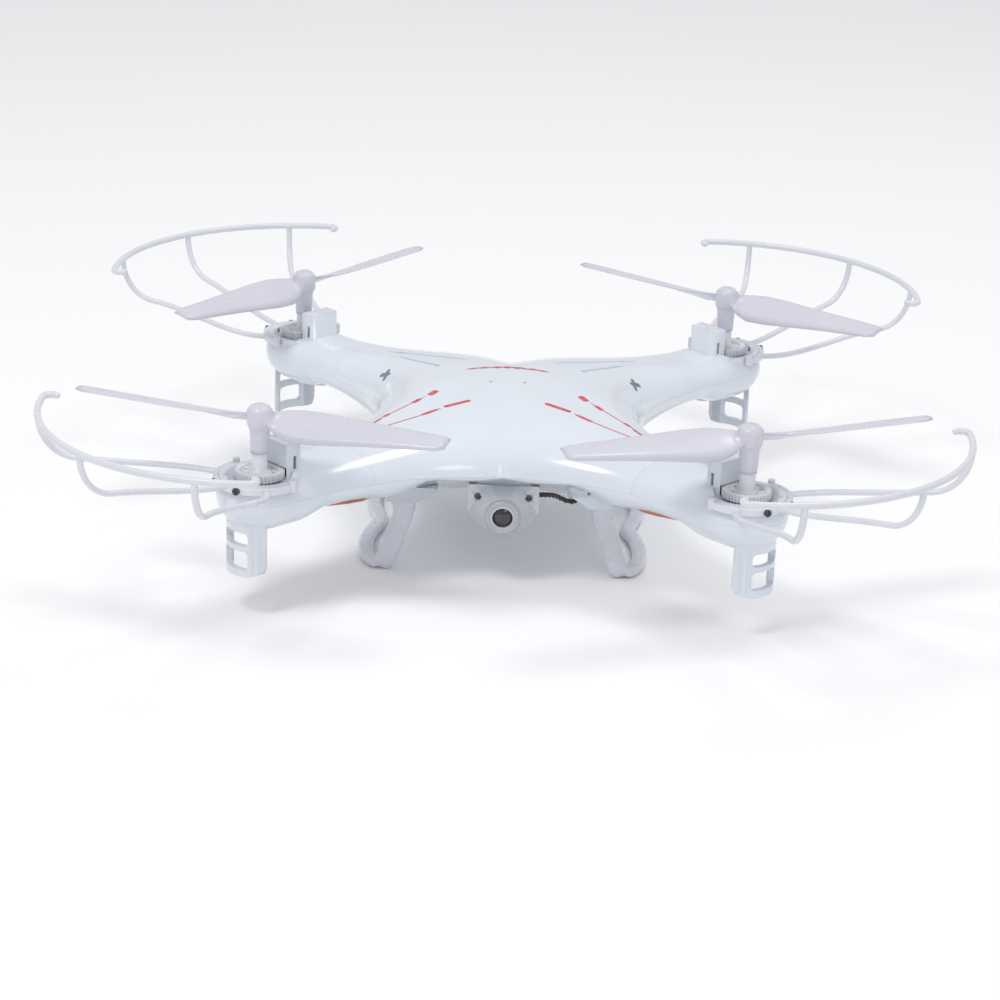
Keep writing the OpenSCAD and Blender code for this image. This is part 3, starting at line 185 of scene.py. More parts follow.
class Skin:
    """The outer skin of one half of the shell, to find its height and its normals."""

    def __init__(self, up):
        points, normals, faces = [], [], []
        for corner in CORNERS:
            for grid in arm_sheet(corner, up):
                a, b = np.gradient(grid, axis=0), np.gradient(grid, axis=1)
                n = np.cross(a, b)
                n /= np.maximum(np.linalg.norm(n, axis=-1, keepdims=True), 1e-9)
                middle = n[len(n) // 2, n.shape[1] // 3, 2]
                if (middle > 0) != up:
                    n = -n
                rows, cols = grid.shape[:2]
                base = sum(len(p) for p in points)
                i = (np.arange(rows - 1)[:, None] * cols + np.arange(cols - 1)[None]).ravel() + base
                faces.append(np.stack([i, i + 1, i + cols + 1], -1))
                faces.append(np.stack([i, i + cols + 1, i + cols], -1))
                points.append(grid.reshape(-1, 3))
                normals.append(n.reshape(-1, 3))
        self.points = np.concatenate(points) * MM
        self.normals = np.concatenate(normals)
        self.round_middle()
        self.faces = np.concatenate(faces)
        self.tree = BVHTree.FromPolygons(self.points.tolist(), self.faces.tolist(), epsilon=1e-9)

    def round_middle(self):
        """Levels the sideways lean of the normals where two arms meet, so that no crease shows."""
        x, y = self.points[:, 0] / MM, self.points[:, 1] / MM
        for axis, off, other in ((0, np.abs(x), np.abs(y)), (1, np.abs(y), np.abs(x))):
            here = other > off
            self.normals[here, axis] *= smooth(off[here] / MIDDLE_BLEND)
        self.normals /= np.maximum(np.linalg.norm(self.normals, axis=1, keepdims=True), 1e-9)

    def nearest(self, p):
        """The closest point of the skin, its normal there, and how far away it is."""
        where, _, i, dist = self.tree.find_nearest(p)
        return where, self.normal(where, i), dist

    def normal(self, where, i):
        a, b, c = self.points[self.faces[i]]
        n = self.normals[self.faces[i]]
        u, v, w = b - a, c - a, np.array(where) - a
        uu, uv, vv, wu, wv = u @ u, u @ v, v @ v, w @ u, w @ v
        k = uu * vv - uv * uv
        if k < 1e-18:
            return Vector(n[0])
        s, t = (vv * wu - uv * wv) / k, (uu * wv - uv * wu) / k
        return Vector(n[0] * (1 - s - t) + n[1] * s + n[2] * t).normalized()

    def above(self, x, y, up):
        """The point of the skin over or under x, y (in mm) and its normal."""
        start = Vector((x * MM, y * MM, 0.2 if up else -0.2))
        where, _, i, _ = self.tree.ray_cast(start, Vector((0, 0, -1 if up else 1)))
        if i is None:
            where, _, i, _ = self.tree.find_nearest(Vector((x * MM, y * MM, 0.06 if up else 0.025)))
        return where, self.normal(where, i)


# ---------- mesh building ----------

def new_object(name, mesh, body, material):
    obj = bpy.data.objects.new(name, mesh)
    bpy.context.scene.collection.objects.link(obj)
    mesh.materials.clear()
    mesh.materials.append(material)
    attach(obj, body)
    return obj


def mesh_from(name, parts):
    """One mesh from several (points in mm, faces) parts."""
    points, faces = [], []
    for p, f in parts:
        base = len(points)
        points += [tuple(float(c) * MM for c in q) for q in p]
        faces += [tuple(i + base for i in q) for q in f]
    mesh = bpy.data.meshes.new(name)
    mesh.from_pydata(points, [], faces)
    bm = bmesh.new()
    bm.from_mesh(mesh)
    bmesh.ops.recalc_face_normals(bm, faces=bm.faces)
    bm.to_mesh(mesh)
    bm.free()
    return mesh


def soften(mesh, degrees):
    mesh.shade_smooth()
    mesh.set_sharp_from_angle(angle=math.radians(degrees))


def curve_through(points, per_span):
    """Catmull-Rom curve through points, with per_span steps between each two."""
    p = np.array(points, float)
    p = np.concatenate([[2 * p[0] - p[1]], p, [2 * p[-1] - p[-2]]])
    out = []
    for i in range(1, len(p) - 2):
        for t in np.arange(per_span) / per_span:
            a, b, c, d = p[i - 1: i + 3]
            out.append(0.5 * (2 * b + (c - a) * t + (2 * a - 5 * b + 4 * c - d) * t * t
                              + (3 * b - a - 3 * c + d) * t ** 3))
    return np.array(out + [p[-2]])


def bezier(a, b, c, d, n):
    a, b, c, d = (np.array(v, float) for v in (a, b, c, d))
    t = np.linspace(0, 1, n + 1)[:, None]
    m = 1 - t
    return a * m ** 3 + 3 * b * m * m * t + 3 * c * m * t * t + d * t ** 3


def rounded(half_w, half_t, power, n):
    """A rounded section: a superellipse of n points."""
    a = np.linspace(0, 2 * math.pi, n, endpoint=False)
    c, s = np.cos(a), np.sin(a)
    return np.stack([np.sign(c) * np.abs(c) ** (2 / power) * half_w,
                     np.sign(s) * np.abs(s) ** (2 / power) * half_t], -1)


def sweep(path, side, section, scale=None, round_ends=(True, True)):
    """A section swept along a path, with its width along side. Round ends are domed."""
    path = np.array(path, float)
    k = np.ones(len(path)) if scale is None else np.array(scale, float)
    reach = np.abs(section[:, 1]).max()
    rows, sizes = list(path), list(k)
    if round_ends[0]:
        back = path[0] - path[1]
        back /= np.linalg.norm(back)
        for a in (30, 60, 85):
            rows.insert(0, path[0] + back * reach * k[0] * math.sin(math.radians(a)))
            sizes.insert(0, k[0] * math.cos(math.radians(a)))
    if round_ends[1]:
        on = path[-1] - path[-2]
        on /= np.linalg.norm(on)
        for a in (30, 60, 85):
            rows.append(path[-1] + on * reach * k[-1] * math.sin(math.radians(a)))
            sizes.append(k[-1] * math.cos(math.radians(a)))
    rows = np.array(rows)
    way = np.gradient(rows, axis=0)
    way /= np.linalg.norm(way, axis=1, keepdims=True)
    side = np.array(side, float)
    side = np.broadcast_to(side, rows.shape) if side.ndim == 1 else \
        side[np.clip(np.arange(len(rows)) - (3 if round_ends[0] else 0), 0, len(side) - 1)]
    a = side - (side * way).sum(1, keepdims=True) * way
    a /= np.linalg.norm(a, axis=1, keepdims=True)
    b = np.cross(way, a)
    n = len(section)
    points = [rows[i] + (a[i] * s[0] + b[i] * s[1]) * sizes[i]
              for i in range(len(rows)) for s in section]
    faces = [(i * n + j, (i + 1) * n + j, (i + 1) * n + (j + 1) % n, i * n + (j + 1) % n)
             for i in range(len(rows) - 1) for j in range(n)]
    faces.append(tuple(range(n)))
    faces.append(tuple((len(rows) - 1) * n + j for j in range(n)))
    return points, faces


def lathe(outline, centre, n):
    """Outline of (radius, height) points turned about a vertical axis through centre."""
    points, faces = [], []
    for r, z in outline:
        for j in range(n):
            a = 2 * math.pi * j / n
            points.append((centre[0] + r * math.cos(a), centre[1] + r * math.sin(a), z))
    for i in range(len(outline) - 1):
        for j in range(n):
            after = (j + 1) % n
            faces.append((i * n + j, i * n + after, (i + 1) * n + after, (i + 1) * n + j))
    faces.append(tuple(range(n)))
    faces.append(tuple((len(outline) - 1) * n + j for j in range(n)))
    return points, faces


def at_rotor(corner, parts):
    """Parts made with +X pointing away from the body, placed at a rotor."""
    sx, sy = SIGN[corner]
    a = math.atan2(sy, sx)
    turn = np.array([[math.cos(a), -math.sin(a), 0], [math.sin(a), math.cos(a), 0], [0, 0, 1]])
    shift = np.array([sx * ROTOR_HALF, sy * ROTOR_HALF, 0])
    return [([turn @ np.array(p) + shift for p in points], faces) for points, faces in parts]


def welded_copy(node):
    """A bmesh of a CAD node's mesh with its doubled points joined."""
    bm = bmesh.new()
    bm.from_mesh(frame["nodes"][node].data)
    bmesh.ops.remove_doubles(bm, verts=bm.verts, dist=2e-6)
    return bm


def body_of_node(node):
    for body, members in frame["record"]["behaviour"]["bodies"].items():
        if node in members:
            return body
    return None


def smooth_copy(node, name, material, degrees=35):
    """A CAD node with its facets shaded as the smooth surfaces they stand for."""
    bm = welded_copy(node)
    mesh = bpy.data.meshes.new(name)
    bm.to_mesh(mesh)
    bm.free()
    soften(mesh, degrees)
    obj = new_object(name, mesh, body_of_node(node), material)
    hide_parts(node)
    return obj


def skin_copy(node, name, material, skin):
    """A CAD shell whose skin is made finer and drawn onto the smooth loft, with its normals."""
    bm = welded_copy(node)

    def skin_faces():
        found = set()
        for f in bm.faces:
            _, n, dist = skin.nearest(f.calc_center_median())
            if dist < SKIN_REACH * MM and n.dot(f.normal) > 0.88:
                found.add(f)
        return found

    for longest in SKIN_EDGES:
        on_skin = skin_faces()
        long = [e for e in bm.edges if e.calc_length() > longest * MM
                and e.link_faces and all(f in on_skin for f in e.link_faces)]
        bmesh.ops.subdivide_edges(bm, edges=long, cuts=1, use_grid_fill=True)
        bmesh.ops.triangulate(bm, faces=[f for f in bm.faces if len(f.verts) > 3])
    on_skin = skin_faces()
    moved = {}
    for v in {v for f in on_skin for v in f.verts}:
        where, n, dist = skin.nearest(v.co)
        if dist < SNAP_REACH * MM:
            if all(f in on_skin for f in v.link_faces):
                v.co = where
            moved[v] = n
    bm.faces.ensure_lookup_table()
    bm.faces.index_update()
    bm.verts.index_update()
    own = {v.index: n for v, n in moved.items()}
    chosen = {f.index for f in on_skin}
    mesh = bpy.data.meshes.new(name)
    bm.to_mesh(mesh)
    bm.free()
    soften(mesh, 30)
    normals = [Vector(c.vector) for c in mesh.corner_normals]
    for poly in mesh.polygons:
        if poly.index in chosen:
            for i in poly.loop_indices:
                n = own.get(mesh.loops[i].vertex_index)
                if n is not None:
                    normals[i] = n
    mesh.normals_split_custom_set(normals)
    obj = new_object(name, mesh, body_of_node(node), material)
    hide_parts(node)
    return obj


# ---------- materials ----------

class Nodes:
    """Small helper to wire a node material."""

    def __init__(self, name):
        self.mat = bpy.data.materials.new(name)
        self.mat.use_nodes = True
        self.tree = self.mat.node_tree
        self.shader = self.tree.nodes["Principled BSDF"]
        self.coord = self.add("ShaderNodeTexCoord").outputs["Object"]

    def add(self, kind, **values):
        node = self.tree.nodes.new(kind)
        for key, value in values.items():
            setattr(node, key, value)
        return node

    def link(self, a, b):
        self.tree.links.new(a, b)

    def noise(self, scale, detail=3.0, rough=0.55):
        node = self.add("ShaderNodeTexNoise")
        node.inputs["Scale"].default_value = scale
        node.inputs["Detail"].default_value = detail
        node.inputs["Roughness"].default_value = rough
        self.link(self.coord, node.inputs["Vector"])
        return node.outputs["Fac"]

    def remap(self, value, low, high, to_low, to_high):
        node = self.add("ShaderNodeMapRange")
        for key, v in (("From Min", low), ("From Max", high),
                       ("To Min", to_low), ("To Max", to_high)):
            node.inputs[key].default_value = v
        self.link(value, node.inputs["Value"])
        return node.outputs["Result"]

    def blend(self, fac, a, b):
        node = self.add("ShaderNodeMix", data_type="RGBA")
        self.link(fac, node.inputs["Factor"])
        colours = [s for s in node.inputs if s.type == "RGBA"]
        for socket, colour in zip(colours, (a, b)):
            if isinstance(colour, tuple):
                socket.default_value = (*colour, 1)
            else:
                self.link(colour, socket)
        return [s for s in node.outputs if s.type == "RGBA"][0]

    def edges(self, radius):
        """The normal with the edges rounded to this radius."""
        bevel = self.add("ShaderNodeBevel", samples=4)
        bevel.inputs["Radius"].default_value = radius
        return bevel.outputs["Normal"]


def darker(colour, k):
    return tuple(c * k for c in colour)


def moulded(name, colour, rough=0.22, coat=0.35, grain=0.02, round_edge=0.25, tint=None,
            mottling=0.04):
    """Moulded plastic: cloudy colour, orange-peel bump, small scuffs and soft edges."""
    m = Nodes(name)
    clouds = m.remap(m.noise(38), 0.35, 0.65, 0, 1)
    base = m.blend(clouds, colour, tint or darker(colour, 1 - mottling))
    scuff = m.remap(m.noise(420, 4), 0.62, 0.78, 0, 0.3)
    base = m.blend(scuff, base, darker(colour, 0.95))
    m.link(base, m.shader.inputs["Base Color"])
    m.link(m.remap(m.noise(160, 4), 0.3, 0.7, rough * 0.75, rough * 1.35),
           m.shader.inputs["Roughness"])
    bump = m.add("ShaderNodeBump")
    bump.inputs["Strength"].default_value = grain
    bump.inputs["Distance"].default_value = 0.0004
    m.link(m.noise(700, 2), bump.inputs["Height"])
    if round_edge:
        m.link(m.edges(round_edge * MM), bump.inputs["Normal"])
    m.link(bump.outputs["Normal"], m.shader.inputs["Normal"])
    m.shader.inputs["Coat Weight"].default_value = coat
    m.shader.inputs["Coat Roughness"].default_value = 0.08
    m.shader.inputs["IOR"].default_value = 1.49
    return m.mat


def translucent(name, colour, rough, through, tint, round_edge=0.0):
    mat = moulded(name, colour, rough, 0.2, 0.015, round_edge, tint)
    shader = mat.node_tree.nodes["Principled BSDF"]
    shader.inputs["Transmission Weight"].default_value = through
    shader.inputs["IOR"].default_value = 1.45
    return mat


def metal(name, colour, rough, streak=0.06):
    """Turned or drawn metal with fine streaks along its height."""
    m = Nodes(name)
    stretch = m.add("ShaderNodeMapping")
    stretch.inputs["Scale"].default_value = (1400, 1400, 60)
    m.link(m.coord, stretch.inputs["Vector"])
    lines = m.add("ShaderNodeTexNoise")
    lines.inputs["Scale"].default_value = 1.0
    lines.inputs["Detail"].default_value = 3
    m.link(stretch.outputs["Vector"], lines.inputs["Vector"])
    grain = lines.outputs["Fac"]
    m.link(m.blend(grain, colour, darker(colour, 0.8)), m.shader.inputs["Base Color"])
    m.link(m.remap(grain, 0.3, 0.7, rough - streak, rough + streak), m.shader.inputs["Roughness"])
    bump = m.add("ShaderNodeBump")
    bump.inputs["Strength"].default_value = 0.05
    bump.inputs["Distance"].default_value = 0.0002
    m.link(grain, bump.inputs["Height"])
    m.link(bump.outputs["Normal"], m.shader.inputs["Normal"])
    m.shader.inputs["Metallic"].default_value = 1.0
    return m.mat


def ink(name, colour):
    """Printed ink: slightly uneven cover and gloss."""
    m = Nodes(name)
    thin = tuple(0.75 * c + 0.2 for c in colour)
    cover = m.remap(m.noise(900, 4), 0.35, 0.75, 0, 1)
    m.link(m.blend(cover, colour, thin), m.shader.inputs["Base Color"])
    m.link(m.remap(m.noise(500), 0.3, 0.7, 0.25, 0.5), m.shader.inputs["Roughness"])
    return m.mat


def circuit(name):
    """Solder-masked board with fine traces."""
    m = Nodes(name)
    cells = m.add("ShaderNodeTexVoronoi", distance="CHEBYCHEV")
    cells.inputs["Scale"].default_value = 380
    m.link(m.coord, cells.inputs["Vector"])
    mask = m.remap(cells.outputs["Distance"], 0.30, 0.36, 0, 1)
    m.link(m.blend(mask, (0.02, 0.16, 0.07), (0.05, 0.27, 0.12)), m.shader.inputs["Base Color"])
    m.link(m.remap(m.noise(600), 0.3, 0.7, 0.25, 0.45), m.shader.inputs["Roughness"])
    bump = m.add("ShaderNodeBump")
    bump.inputs["Strength"].default_value = 0.2
    bump.inputs["Distance"].default_value = 0.0001
    m.link(mask, bump.inputs["Height"])
    m.link(bump.outputs["Normal"], m.shader.inputs["Normal"])
    return m.mat


def make_materials():
    white = (0.74, 0.785, 0.85)
    return {
        "shell": moulded("white_shell", white, 0.16, 0.6, 0.012, 0.3, (0.715, 0.765, 0.84)),
        "pod": moulded("white_pod", (0.73, 0.775, 0.845), 0.2, 0.45, 0.015, 0.3),
        "guard": moulded("white_guard", (0.72, 0.725, 0.785), 0.3, 0.2, 0.02, 0.0),
        "skid": moulded("white_skid", (0.68, 0.705, 0.77), 0.28, 0.25, 0.02, 0.0),
        "blade": translucent("blade_plastic", (0.71, 0.705, 0.79), 0.32, 0.1, (0.68, 0.675, 0.765)),
        "gear": moulded("gear_nylon", (0.78, 0.78, 0.82), 0.42, 0.05, 0.03, 0.1),
        "black": moulded("black_plastic", (0.015, 0.015, 0.018), 0.4, 0.1, 0.04, 0.15,
                         (0.03, 0.03, 0.035)),
        "camera": moulded("camera_plastic", (0.58, 0.60, 0.64), 0.24, 0.3, 0.02, 0.35),
        "ring": moulded("ring_plastic", (0.44, 0.46, 0.50), 0.25, 0.4, 0.02, 0.2),
        "orange": translucent("orange_lens", (0.80, 0.22, 0.06), 0.2, 0.25, (0.55, 0.10, 0.03)),
        "green": translucent("green_lens", (0.25, 0.72, 0.42), 0.2, 0.3, (0.12, 0.50, 0.25)),
        "steel": metal("bright_steel", (0.62, 0.62, 0.64), 0.25),
        "dark_steel": metal("dark_screw", (0.12, 0.12, 0.13), 0.35),
        "brass": metal("gear_brass", (0.75, 0.55, 0.22), 0.3),
        "board": circuit("circuit_board"),
        "battery": moulded("battery_wrap", (0.10, 0.22, 0.50), 0.3, 0.3, 0.05, 0.5,
                           (0.08, 0.18, 0.42)),
        "red_wire": moulded("red_wire", (0.28, 0.05, 0.03), 0.4, 0.1, 0.05, 0.0, (0.2, 0.03, 0.02)),
        "black_wire": moulded("black_wire", (0.02, 0.018, 0.016), 0.4, 0.1, 0.05, 0.0,
                              (0.05, 0.03, 0.02)),
        "white_wire": moulded("white_wire", (0.7, 0.66, 0.6), 0.4, 0.1, 0.05, 0.0),
        "blue_wire": moulded("blue_wire", (0.04, 0.08, 0.35), 0.4, 0.1, 0.05, 0.0),
        "red_ink": ink("red_ink", (0.60, 0.02, 0.04)),
        "blue_ink": ink("blue_ink", (0.32, 0.47, 0.72)),
        "grey_ink": ink("grey_ink", (0.12, 0.13, 0.17)),
        "black_ink": ink("black_ink", (0.03, 0.03, 0.05)),
    }


def make_glass():
    """Dark coated lens glass, its colour painted bluish towards the rim as a painted reflection of
    the coating.
    """
    m = Nodes("lens_glass")
    facing = m.add("ShaderNodeLayerWeight")
    facing.inputs["Blend"].default_value = 0.4
    # painted reflection: near black face-on, turning bluish where the glass is seen edge-on
    m.link(m.blend(facing.outputs["Facing"], (0.004, 0.004, 0.007), (0.05, 0.03, 0.12)),
           m.shader.inputs["Base Color"])
    m.link(m.remap(m.noise(300), 0.3, 0.7, 0.03, 0.08), m.shader.inputs["Roughness"])
    m.shader.inputs["Coat Weight"].default_value = 1.0
    m.shader.inputs["Coat Roughness"].default_value = 0.02
    return m.mat


# ---------- pieces ----------

def make_shells(mats, top, bottom):
    skin_copy("upper_shell", "shell_top", mats["shell"], top)
    skin_copy("lower_shell", "shell_bottom", mats["shell"], bottom)
    for c in CORNERS:
        skin_copy("motor_cap_" + c, "pod_top_" + c, mats["pod"], top)
        skin_copy("pod_base_" + c, "pod_bottom_" + c, mats["pod"], bottom)


def spoke_path(a0, a1):
    a0, a1 = math.radians(a0), math.radians(a1)
    away = np.array([math.cos(a0), math.sin(a0), 0])
    out = np.array([math.cos(a1), math.sin(a1), 0])
    start = away * COLLAR_R + [0, 0, (COLLAR_LOW + COLLAR_HIGH) / 2]
    bend = out * SPOKE_BEND_R + [0, 0, GUARD_Z - 16]
    end = out * GUARD_R + [0, 0, GUARD_Z]
    lower = bezier(start, start + away * 16 + [0, 0, 1], bend - out * 18 - [0, 0, 2.6], bend, 24)
    upper = bezier(bend, bend + out * 7 + [0, 0, 1.4], end - [0, 0, 8], end - [0, 0, 0.4], 18)
    return np.concatenate([lower, upper[1:]]), np.array([-math.sin(a1), math.cos(a1), 0])


def make_guard(corner, mats):
    a = np.radians(np.linspace(-GUARD_SPAN, GUARD_SPAN, 90))
    arc = np.stack([np.cos(a) * GUARD_R, np.sin(a) * GUARD_R, np.full(len(a), GUARD_Z)], -1)
    h = np.radians(np.linspace(0, HOOK_TURN, 24)[1:])
    near = np.stack([GUARD_R - HOOK_R + HOOK_R * np.cos(h), HOOK_R * np.sin(h),
                     np.full(len(h), GUARD_Z)], -1)
    s = math.radians(GUARD_SPAN)
    turn = np.array([[math.cos(s), -math.sin(s), 0], [math.sin(s), math.cos(s), 0], [0, 0, 1]])
    hook = near @ turn.T
    mirrored = hook * [1, -1, 1]
    ring = np.concatenate([mirrored[::-1], arc, hook])
    round_bar = rounded(GUARD_W / 2, GUARD_W / 2, 2, 16)
    parts = [sweep(ring, (0, 0, 1), round_bar, round_ends=(True, True))]
    flat = rounded(GUARD_W / 2 - 0.05, 1.0, 2.4, 14)
    for a0, a1 in ((0, 0), (SPOKE_ROOT, SPOKE_ANGLE), (-SPOKE_ROOT, -SPOKE_ANGLE)):
        path, side = spoke_path(a0, a1)
        parts.append(sweep(path, side, flat, round_ends=(False, False)))
    c = np.radians(np.linspace(-COLLAR_ANGLE, COLLAR_ANGLE, 80))
    mid = (COLLAR_LOW + COLLAR_HIGH) / 2
    collar = np.stack([np.cos(c) * COLLAR_R, np.sin(c) * COLLAR_R, np.full(len(c), mid)], -1)
    band = rounded((COLLAR_HIGH - COLLAR_LOW) / 2, COLLAR_T / 2, 7, 28)
    parts.append(sweep(collar, (0, 0, 1), band, round_ends=(False, False)))
    top = COLLAR_HIGH + 1.2
    for sign in (-1, 1):
        e = math.radians(COLLAR_ANGLE) * sign
        where = ((COLLAR_R + 0.5) * math.cos(e), (COLLAR_R + 0.5) * math.sin(e))
        lug = [(1.2, COLLAR_LOW), (1.3, COLLAR_LOW + 0.1), (1.3, top - 0.5), (1.15, top - 0.15),
               (0.8, top)]
        parts.append(lathe(lug, where, 24))
    name = "guard_" + corner
    mesh = mesh_from(name, at_rotor(corner, parts))
    soften(mesh, 40)
    obj = new_object(name, mesh, "airframe", mats["guard"])
    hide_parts("prop_guard_" + corner)


def leg_points(side):
    """One skid's middle line, from the rear leg's top along the runner to the front leg's top."""
    b, h, t = SKID_BULGE, SKID_T / 2, LEG_TOP
    leg = [(0, 0, t), (0, 0, t * 0.86), (0.6, 0.4, t * 0.7), (b * 0.19, 1.5, t * 0.5),
           (b * 0.31, 3, t * 0.29), (b * 0.4, 3.7, h + 2), (b * 0.5, 3.9, h + 0.6),
           (b * 0.63, 3.3, h), (b * 0.78, 1.4, h), (b * 0.9, -2.4, h), (b * 0.98, -8, h),
           (b, -15, h), (b * 0.97, -21.5, h), (b * 0.9, -27.5, h), (b * 0.79, -33, h)]
    half = [(LEG_X + x, LEG_Y + y, z) for x, y, z in leg]
    whole = half + [(LEG_X + b * 0.73, 0, h)] + [(x, -y, z) for x, y, z in reversed(half)]
    return [(side * x, y, z) for x, y, z in whole]


def make_skid(name, side, mats):
    path = curve_through(leg_points(side), 5)
    path[:, 2] = np.maximum(path[:, 2], SKID_T / 2)
    reach = np.minimum(np.arange(len(path)), np.arange(len(path))[::-1]) / 5
    scale = RUNNER_SHARE + (LEG_SHARE - RUNNER_SHARE) * smooth((9 - reach) / 5)
    scale = scale + 0.4 * np.clip(1 - reach / 2, 0, 1) ** 1.6
    section = rounded(SKID_W / 2, SKID_T / 2, 3.2, 24)
    mesh = mesh_from("skid_" + name, [sweep(path, (1, 0, 0), section, scale, (False, False))])
    for v in mesh.vertices:
        v.co.z = min(max(v.co.z, 0), LEG_TOP * MM)
    soften(mesh, 40)
    obj = new_object("skid_" + name, mesh, "airframe", mats["skid"])
    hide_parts("landing_skid_" + name)


def strip(path, widths, skin, up, proud=0.03):
    """A printed band that lies on the skin: path in x, y, with a width at each point."""
    path = np.array(path, float)
    way = np.gradient(path, axis=0)
    way /= np.linalg.norm(way, axis=1, keepdims=True)
    across = np.stack([-way[:, 1], way[:, 0]], -1)
    points, faces = [], []
    rows = 5
    for i, p in enumerate(path):
        for j in range(rows):
            x, y = p + across[i] * widths[i] * (j / (rows - 1) - 0.5)
            where, n = skin.above(x, y, up)
            points.append((where + n * proud * MM) / MM)
    for i in range(len(path) - 1):
        for j in range(rows - 1):
            k = i * rows + j
            faces.append((k, k + 1, k + rows + 1, k + rows))
    return points, faces


def straight(a, b, n):
    return np.array(a) + (np.array(b) - np.array(a)) * np.linspace(0, 1, n)[:, None]


def make_decals(mats, top):
    def add(name, parts, material):
        mesh = bpy.data.meshes.new(name)
        points, faces = [], []
        for p, f in parts:
            base = len(points)
            points += [tuple(c * MM for c in q) for q in p]
            faces += [tuple(i + base for i in q) for q in f]
        mesh.from_pydata(points, [], faces)
        bm = bmesh.new()
        bm.from_mesh(mesh)
        for f in bm.faces:
            f.normal_update()
            if f.normal.z < 0:
                f.normal_flip()
        bm.to_mesh(mesh)
        bm.free()
        mesh.shade_smooth()
        new_object(name, mesh, "airframe", material)

    def band(a, b, w, n=24, fade=3):
        """A long stroke that thins out towards its ends."""
        t = np.linspace(0, 1, n)
        widths = w * np.minimum(1, fade * np.minimum(t, 1 - t) + 0.15)
        return strip(straight(a, b, n), widths, top, True)

    def dash(a, b, w, n=10):
        """A short stroke with blunt ends."""
        t = np.linspace(0, 1, n)
        widths = w * np.minimum(1, 0.5 + 8 * np.minimum(t, 1 - t))
        return strip(straight(a, b, n), widths, top, True)

    for k, name in ((-1, "left"), (1, "right")):
        outer = [band((k * 49, -42.5), (k * 44, -36.5), 1.3, 14),
                 band((k * 46, -37.5), (k * 29, -20.5), 0.55, 40, 9),
                 dash((k * 43.5, -35), (k * 41.5, -32.8), 1.7),
                 dash((k * 33.8, -25.6), (k * 31.2, -22.6), 1.9),
                 dash((k * 28.2, -20.2), (k * 25.6, -16.6), 2.6)]
        inner = [band((k * 45, -45.4), (k * 30, -36.6), 0.6, 40, 9),
                 band((k * 31, -37.2), (k * 23.5, -32.2), 1.5),
                 dash((k * 22.5, -31.2), (k * 13.2, -27.4), 1.9, 16)]
        add("flash_" + name, outer + inner, mats["red_ink"])
        rear = [band((k * 47, 45.5), (k * 16, 19.5), 0.7, 60, 9),
                band((k * 42, 34.6), (k * 26.5, 12.2), 0.7, 40, 9),
                dash((k * 42.4, 41.8), (k * 40.8, 40.2), 1.8),
                dash((k * 27.6, 13.4), (k * 26.2, 11.6), 2)]
        add("rear_lines_" + name, rear, mats["blue_ink"])
        mark = [dash((k * 44.6, 20), (k * 48.4, 24.4), 1.6),
                dash((k * 46.8, 18.6), (k * 45.2, 24.6), 1.5)]
        add("arm_mark_" + name, mark, mats["grey_ink"])
    t = np.linspace(0, 1, 90)
    bow = np.stack([-16 + 30.5 * t, 2.2 + 3.2 * np.sin(math.pi * t)], -1)
    waves = 1.1 + 1.5 * np.abs(np.sin(7 * math.pi * t))
    thick = waves * np.minimum(1, 6 * np.minimum(t, 1 - t) + 0.3)
    add("rear_flash", [strip(bow, thick, top, True)], mats["red_ink"])
    t = np.linspace(0, 1, 6)
    knots = [strip(np.stack([x + 0.9 * np.cos(t * 2), 3.4 + np.linspace(0, 2.4, 6)], -1),
                   np.full(6, 0.8), top, True) for x in (-9, -5.5, -2, 1.5, 5, 8.5)]
    add("rear_flash_shade", knots, mats["black_ink"])
    add("canopy_dots", [dash((x, -11.6), (x, -10), 1.2) for x in (-6.6, 5.6)], mats["blue_ink"])


def paint(node, material):
    """Gives a CAD node that stays as it is a finished material."""
    mesh = frame["nodes"][node].data
    mesh.materials.clear()
    mesh.materials.append(material)


def paint_strands(obj, materials):
    """Gives the loose pieces of a lead the materials in turn."""
    mesh = obj.data
    bm = bmesh.new()
    bm.from_mesh(mesh)
    groups, seen = [], set()
    for v in bm.verts:
        if v in seen:
            continue
        stack, group = [v], set()
        seen.add(v)
        while stack:
            x = stack.pop()
            group.update(x.link_faces)
            for e in x.link_edges:
                o = e.other_vert(x)
                if o not in seen:
                    seen.add(o)
                    stack.append(o)
        groups.append(group)
    for i, group in enumerate(groups):
        for f in group:
            f.material_index = i % len(materials)
    bm.to_mesh(mesh)
    bm.free()
    mesh.materials.clear()
    for m in materials:
        mesh.materials.append(m)


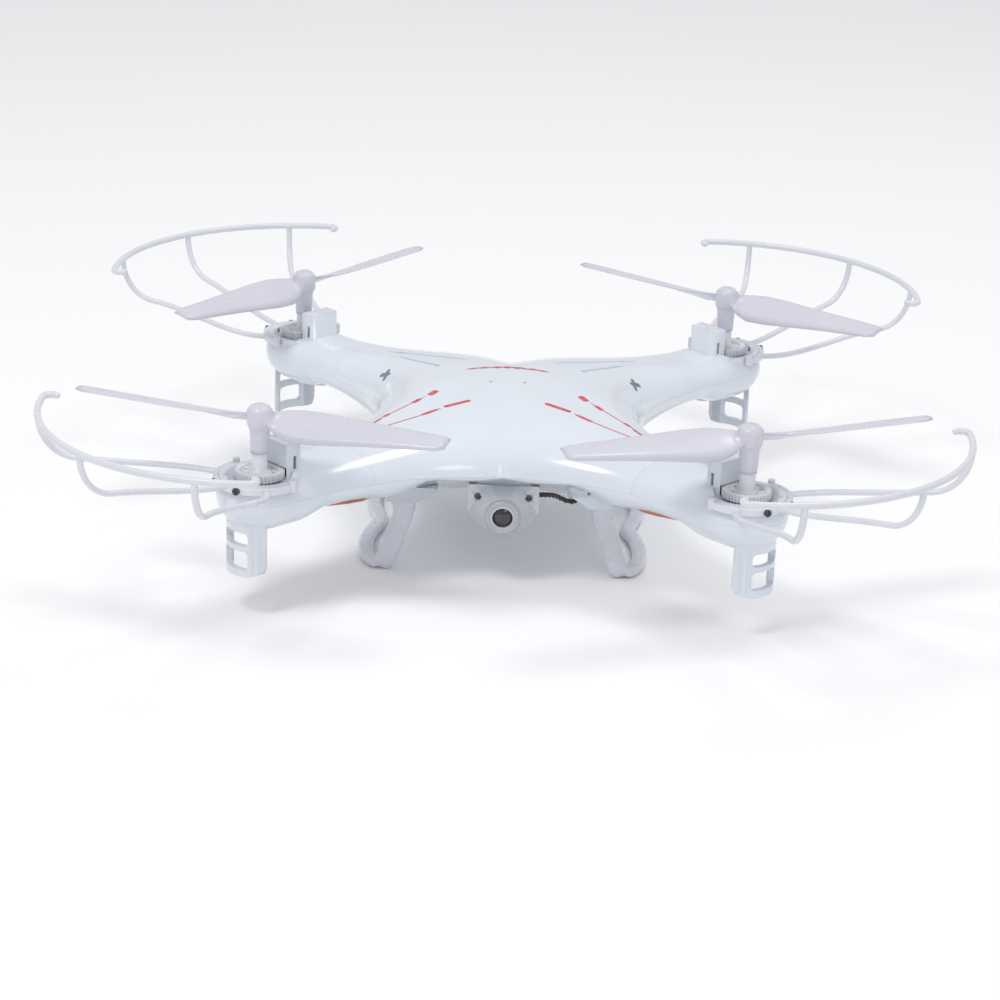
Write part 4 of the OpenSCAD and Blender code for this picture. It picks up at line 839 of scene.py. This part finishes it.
def make_small_parts(mats, glass):
    for c in CORNERS:
        smooth_copy("propeller_" + c, "rotor_blades_" + c, mats["blade"], 42)
        smooth_copy("main_gear_" + c, "drive_gear_" + c, mats["gear"], 25)
        paint("pinion_" + c, mats["brass"])
        paint("motor_" + c, mats["steel"])
        paint("prop_shaft_" + c, mats["steel"])
        paint("led_lens_" + c, mats["orange" if c[0] == "f" else "green"])
    for node, key in (
            ("guard_screws", "dark_steel"), ("led_boards", "board"), ("main_board", "board"),
            ("battery", "battery"), ("battery_door", "pod"), ("door_pin", "steel"),
            ("power_switch", "black"), ("camera_board", "board"),
            ("camera_screws", "dark_steel"), ("memory_card", "black"),
            ("shell_screws", "dark_steel")):
        paint(node, mats[key])
    smooth_copy("camera_front", "camera_face", mats["camera"], 30)
    smooth_copy("camera_rear", "camera_back", mats["camera"], 30)
    smooth_copy("lens_ring", "camera_ring", mats["ring"], 30)
    smooth_copy("lens_glass", "camera_glass", glass, 40)
    lead = smooth_copy("camera_lead", "camera_wires", mats["black_wire"], 50)
    paint_strands(lead, [mats["black_wire"], mats["red_wire"], mats["white_wire"]])
    paint_strands(smooth_copy("motor_leads", "motor_wires", mats["blue_wire"], 50),
                  [mats["red_wire"], mats["blue_wire"], mats["white_wire"]])
    paint_strands(smooth_copy("battery_lead", "battery_wires", mats["red_wire"], 50),
                  [mats["red_wire"], mats["black_wire"]])


# ---------- studio ----------

def make_floor():
    bm = bmesh.new()
    bmesh.ops.create_grid(bm, x_segments=8, y_segments=8, size=4)
    mesh = bpy.data.meshes.new("floor")
    bm.to_mesh(mesh)
    bm.free()
    m = Nodes("floor_paper")
    m.link(m.blend(m.noise(3), (0.97, 0.97, 0.975), (0.955, 0.955, 0.965)),
           m.shader.inputs["Base Color"])
    m.shader.inputs["Roughness"].default_value = 0.9
    m.shader.inputs["Specular IOR Level"].default_value = 0.1
    mesh.materials.append(m.mat)
    obj = bpy.data.objects.new("floor", mesh)
    obj.location = (0, 0, -0.0002)
    bpy.context.scene.collection.objects.link(obj)


def area_light(name, where, to, size, watts, colour=(1, 1, 1)):
    data = bpy.data.lights.new(name, "AREA")
    data.shape = "DISK"
    data.size = size
    data.energy = watts
    data.color = colour
    obj = bpy.data.objects.new(name, data)
    obj.location = where
    obj.rotation_mode = "QUATERNION"
    obj.rotation_quaternion = (Vector(to) - Vector(where)).to_track_quat("-Z", "Y")
    bpy.context.scene.collection.objects.link(obj)


def make_light():
    world = bpy.data.worlds.new("studio")
    world.use_nodes = True
    world.node_tree.nodes["Background"].inputs["Color"].default_value = (0.97, 0.98, 1.0, 1)
    world.node_tree.nodes["Background"].inputs["Strength"].default_value = 0.68
    bpy.context.scene.world = world
    area_light("key", (-0.5, -0.6, 1.3), (0, 0, 0.04), 0.4, 5.4, (1, 0.99, 0.97))
    area_light("top", (0.35, 0.25, 1.4), (0, 0, 0.04), 0.5, 4.0)
    area_light("front", (0.4, -1.3, 0.7), (0, 0, 0.04), 0.4, 1.0)
    bpy.context.scene.view_settings.view_transform = "Standard"


def main():
    make_camera()
    mats = make_materials()
    top, bottom = Skin(True), Skin(False)
    make_shells(mats, top, bottom)
    for c in CORNERS:
        make_guard(c, mats)
    make_skid("left", -1, mats)
    make_skid("right", 1, mats)
    make_small_parts(mats, make_glass())
    make_decals(mats, top)
    make_floor()
    make_light()


main()
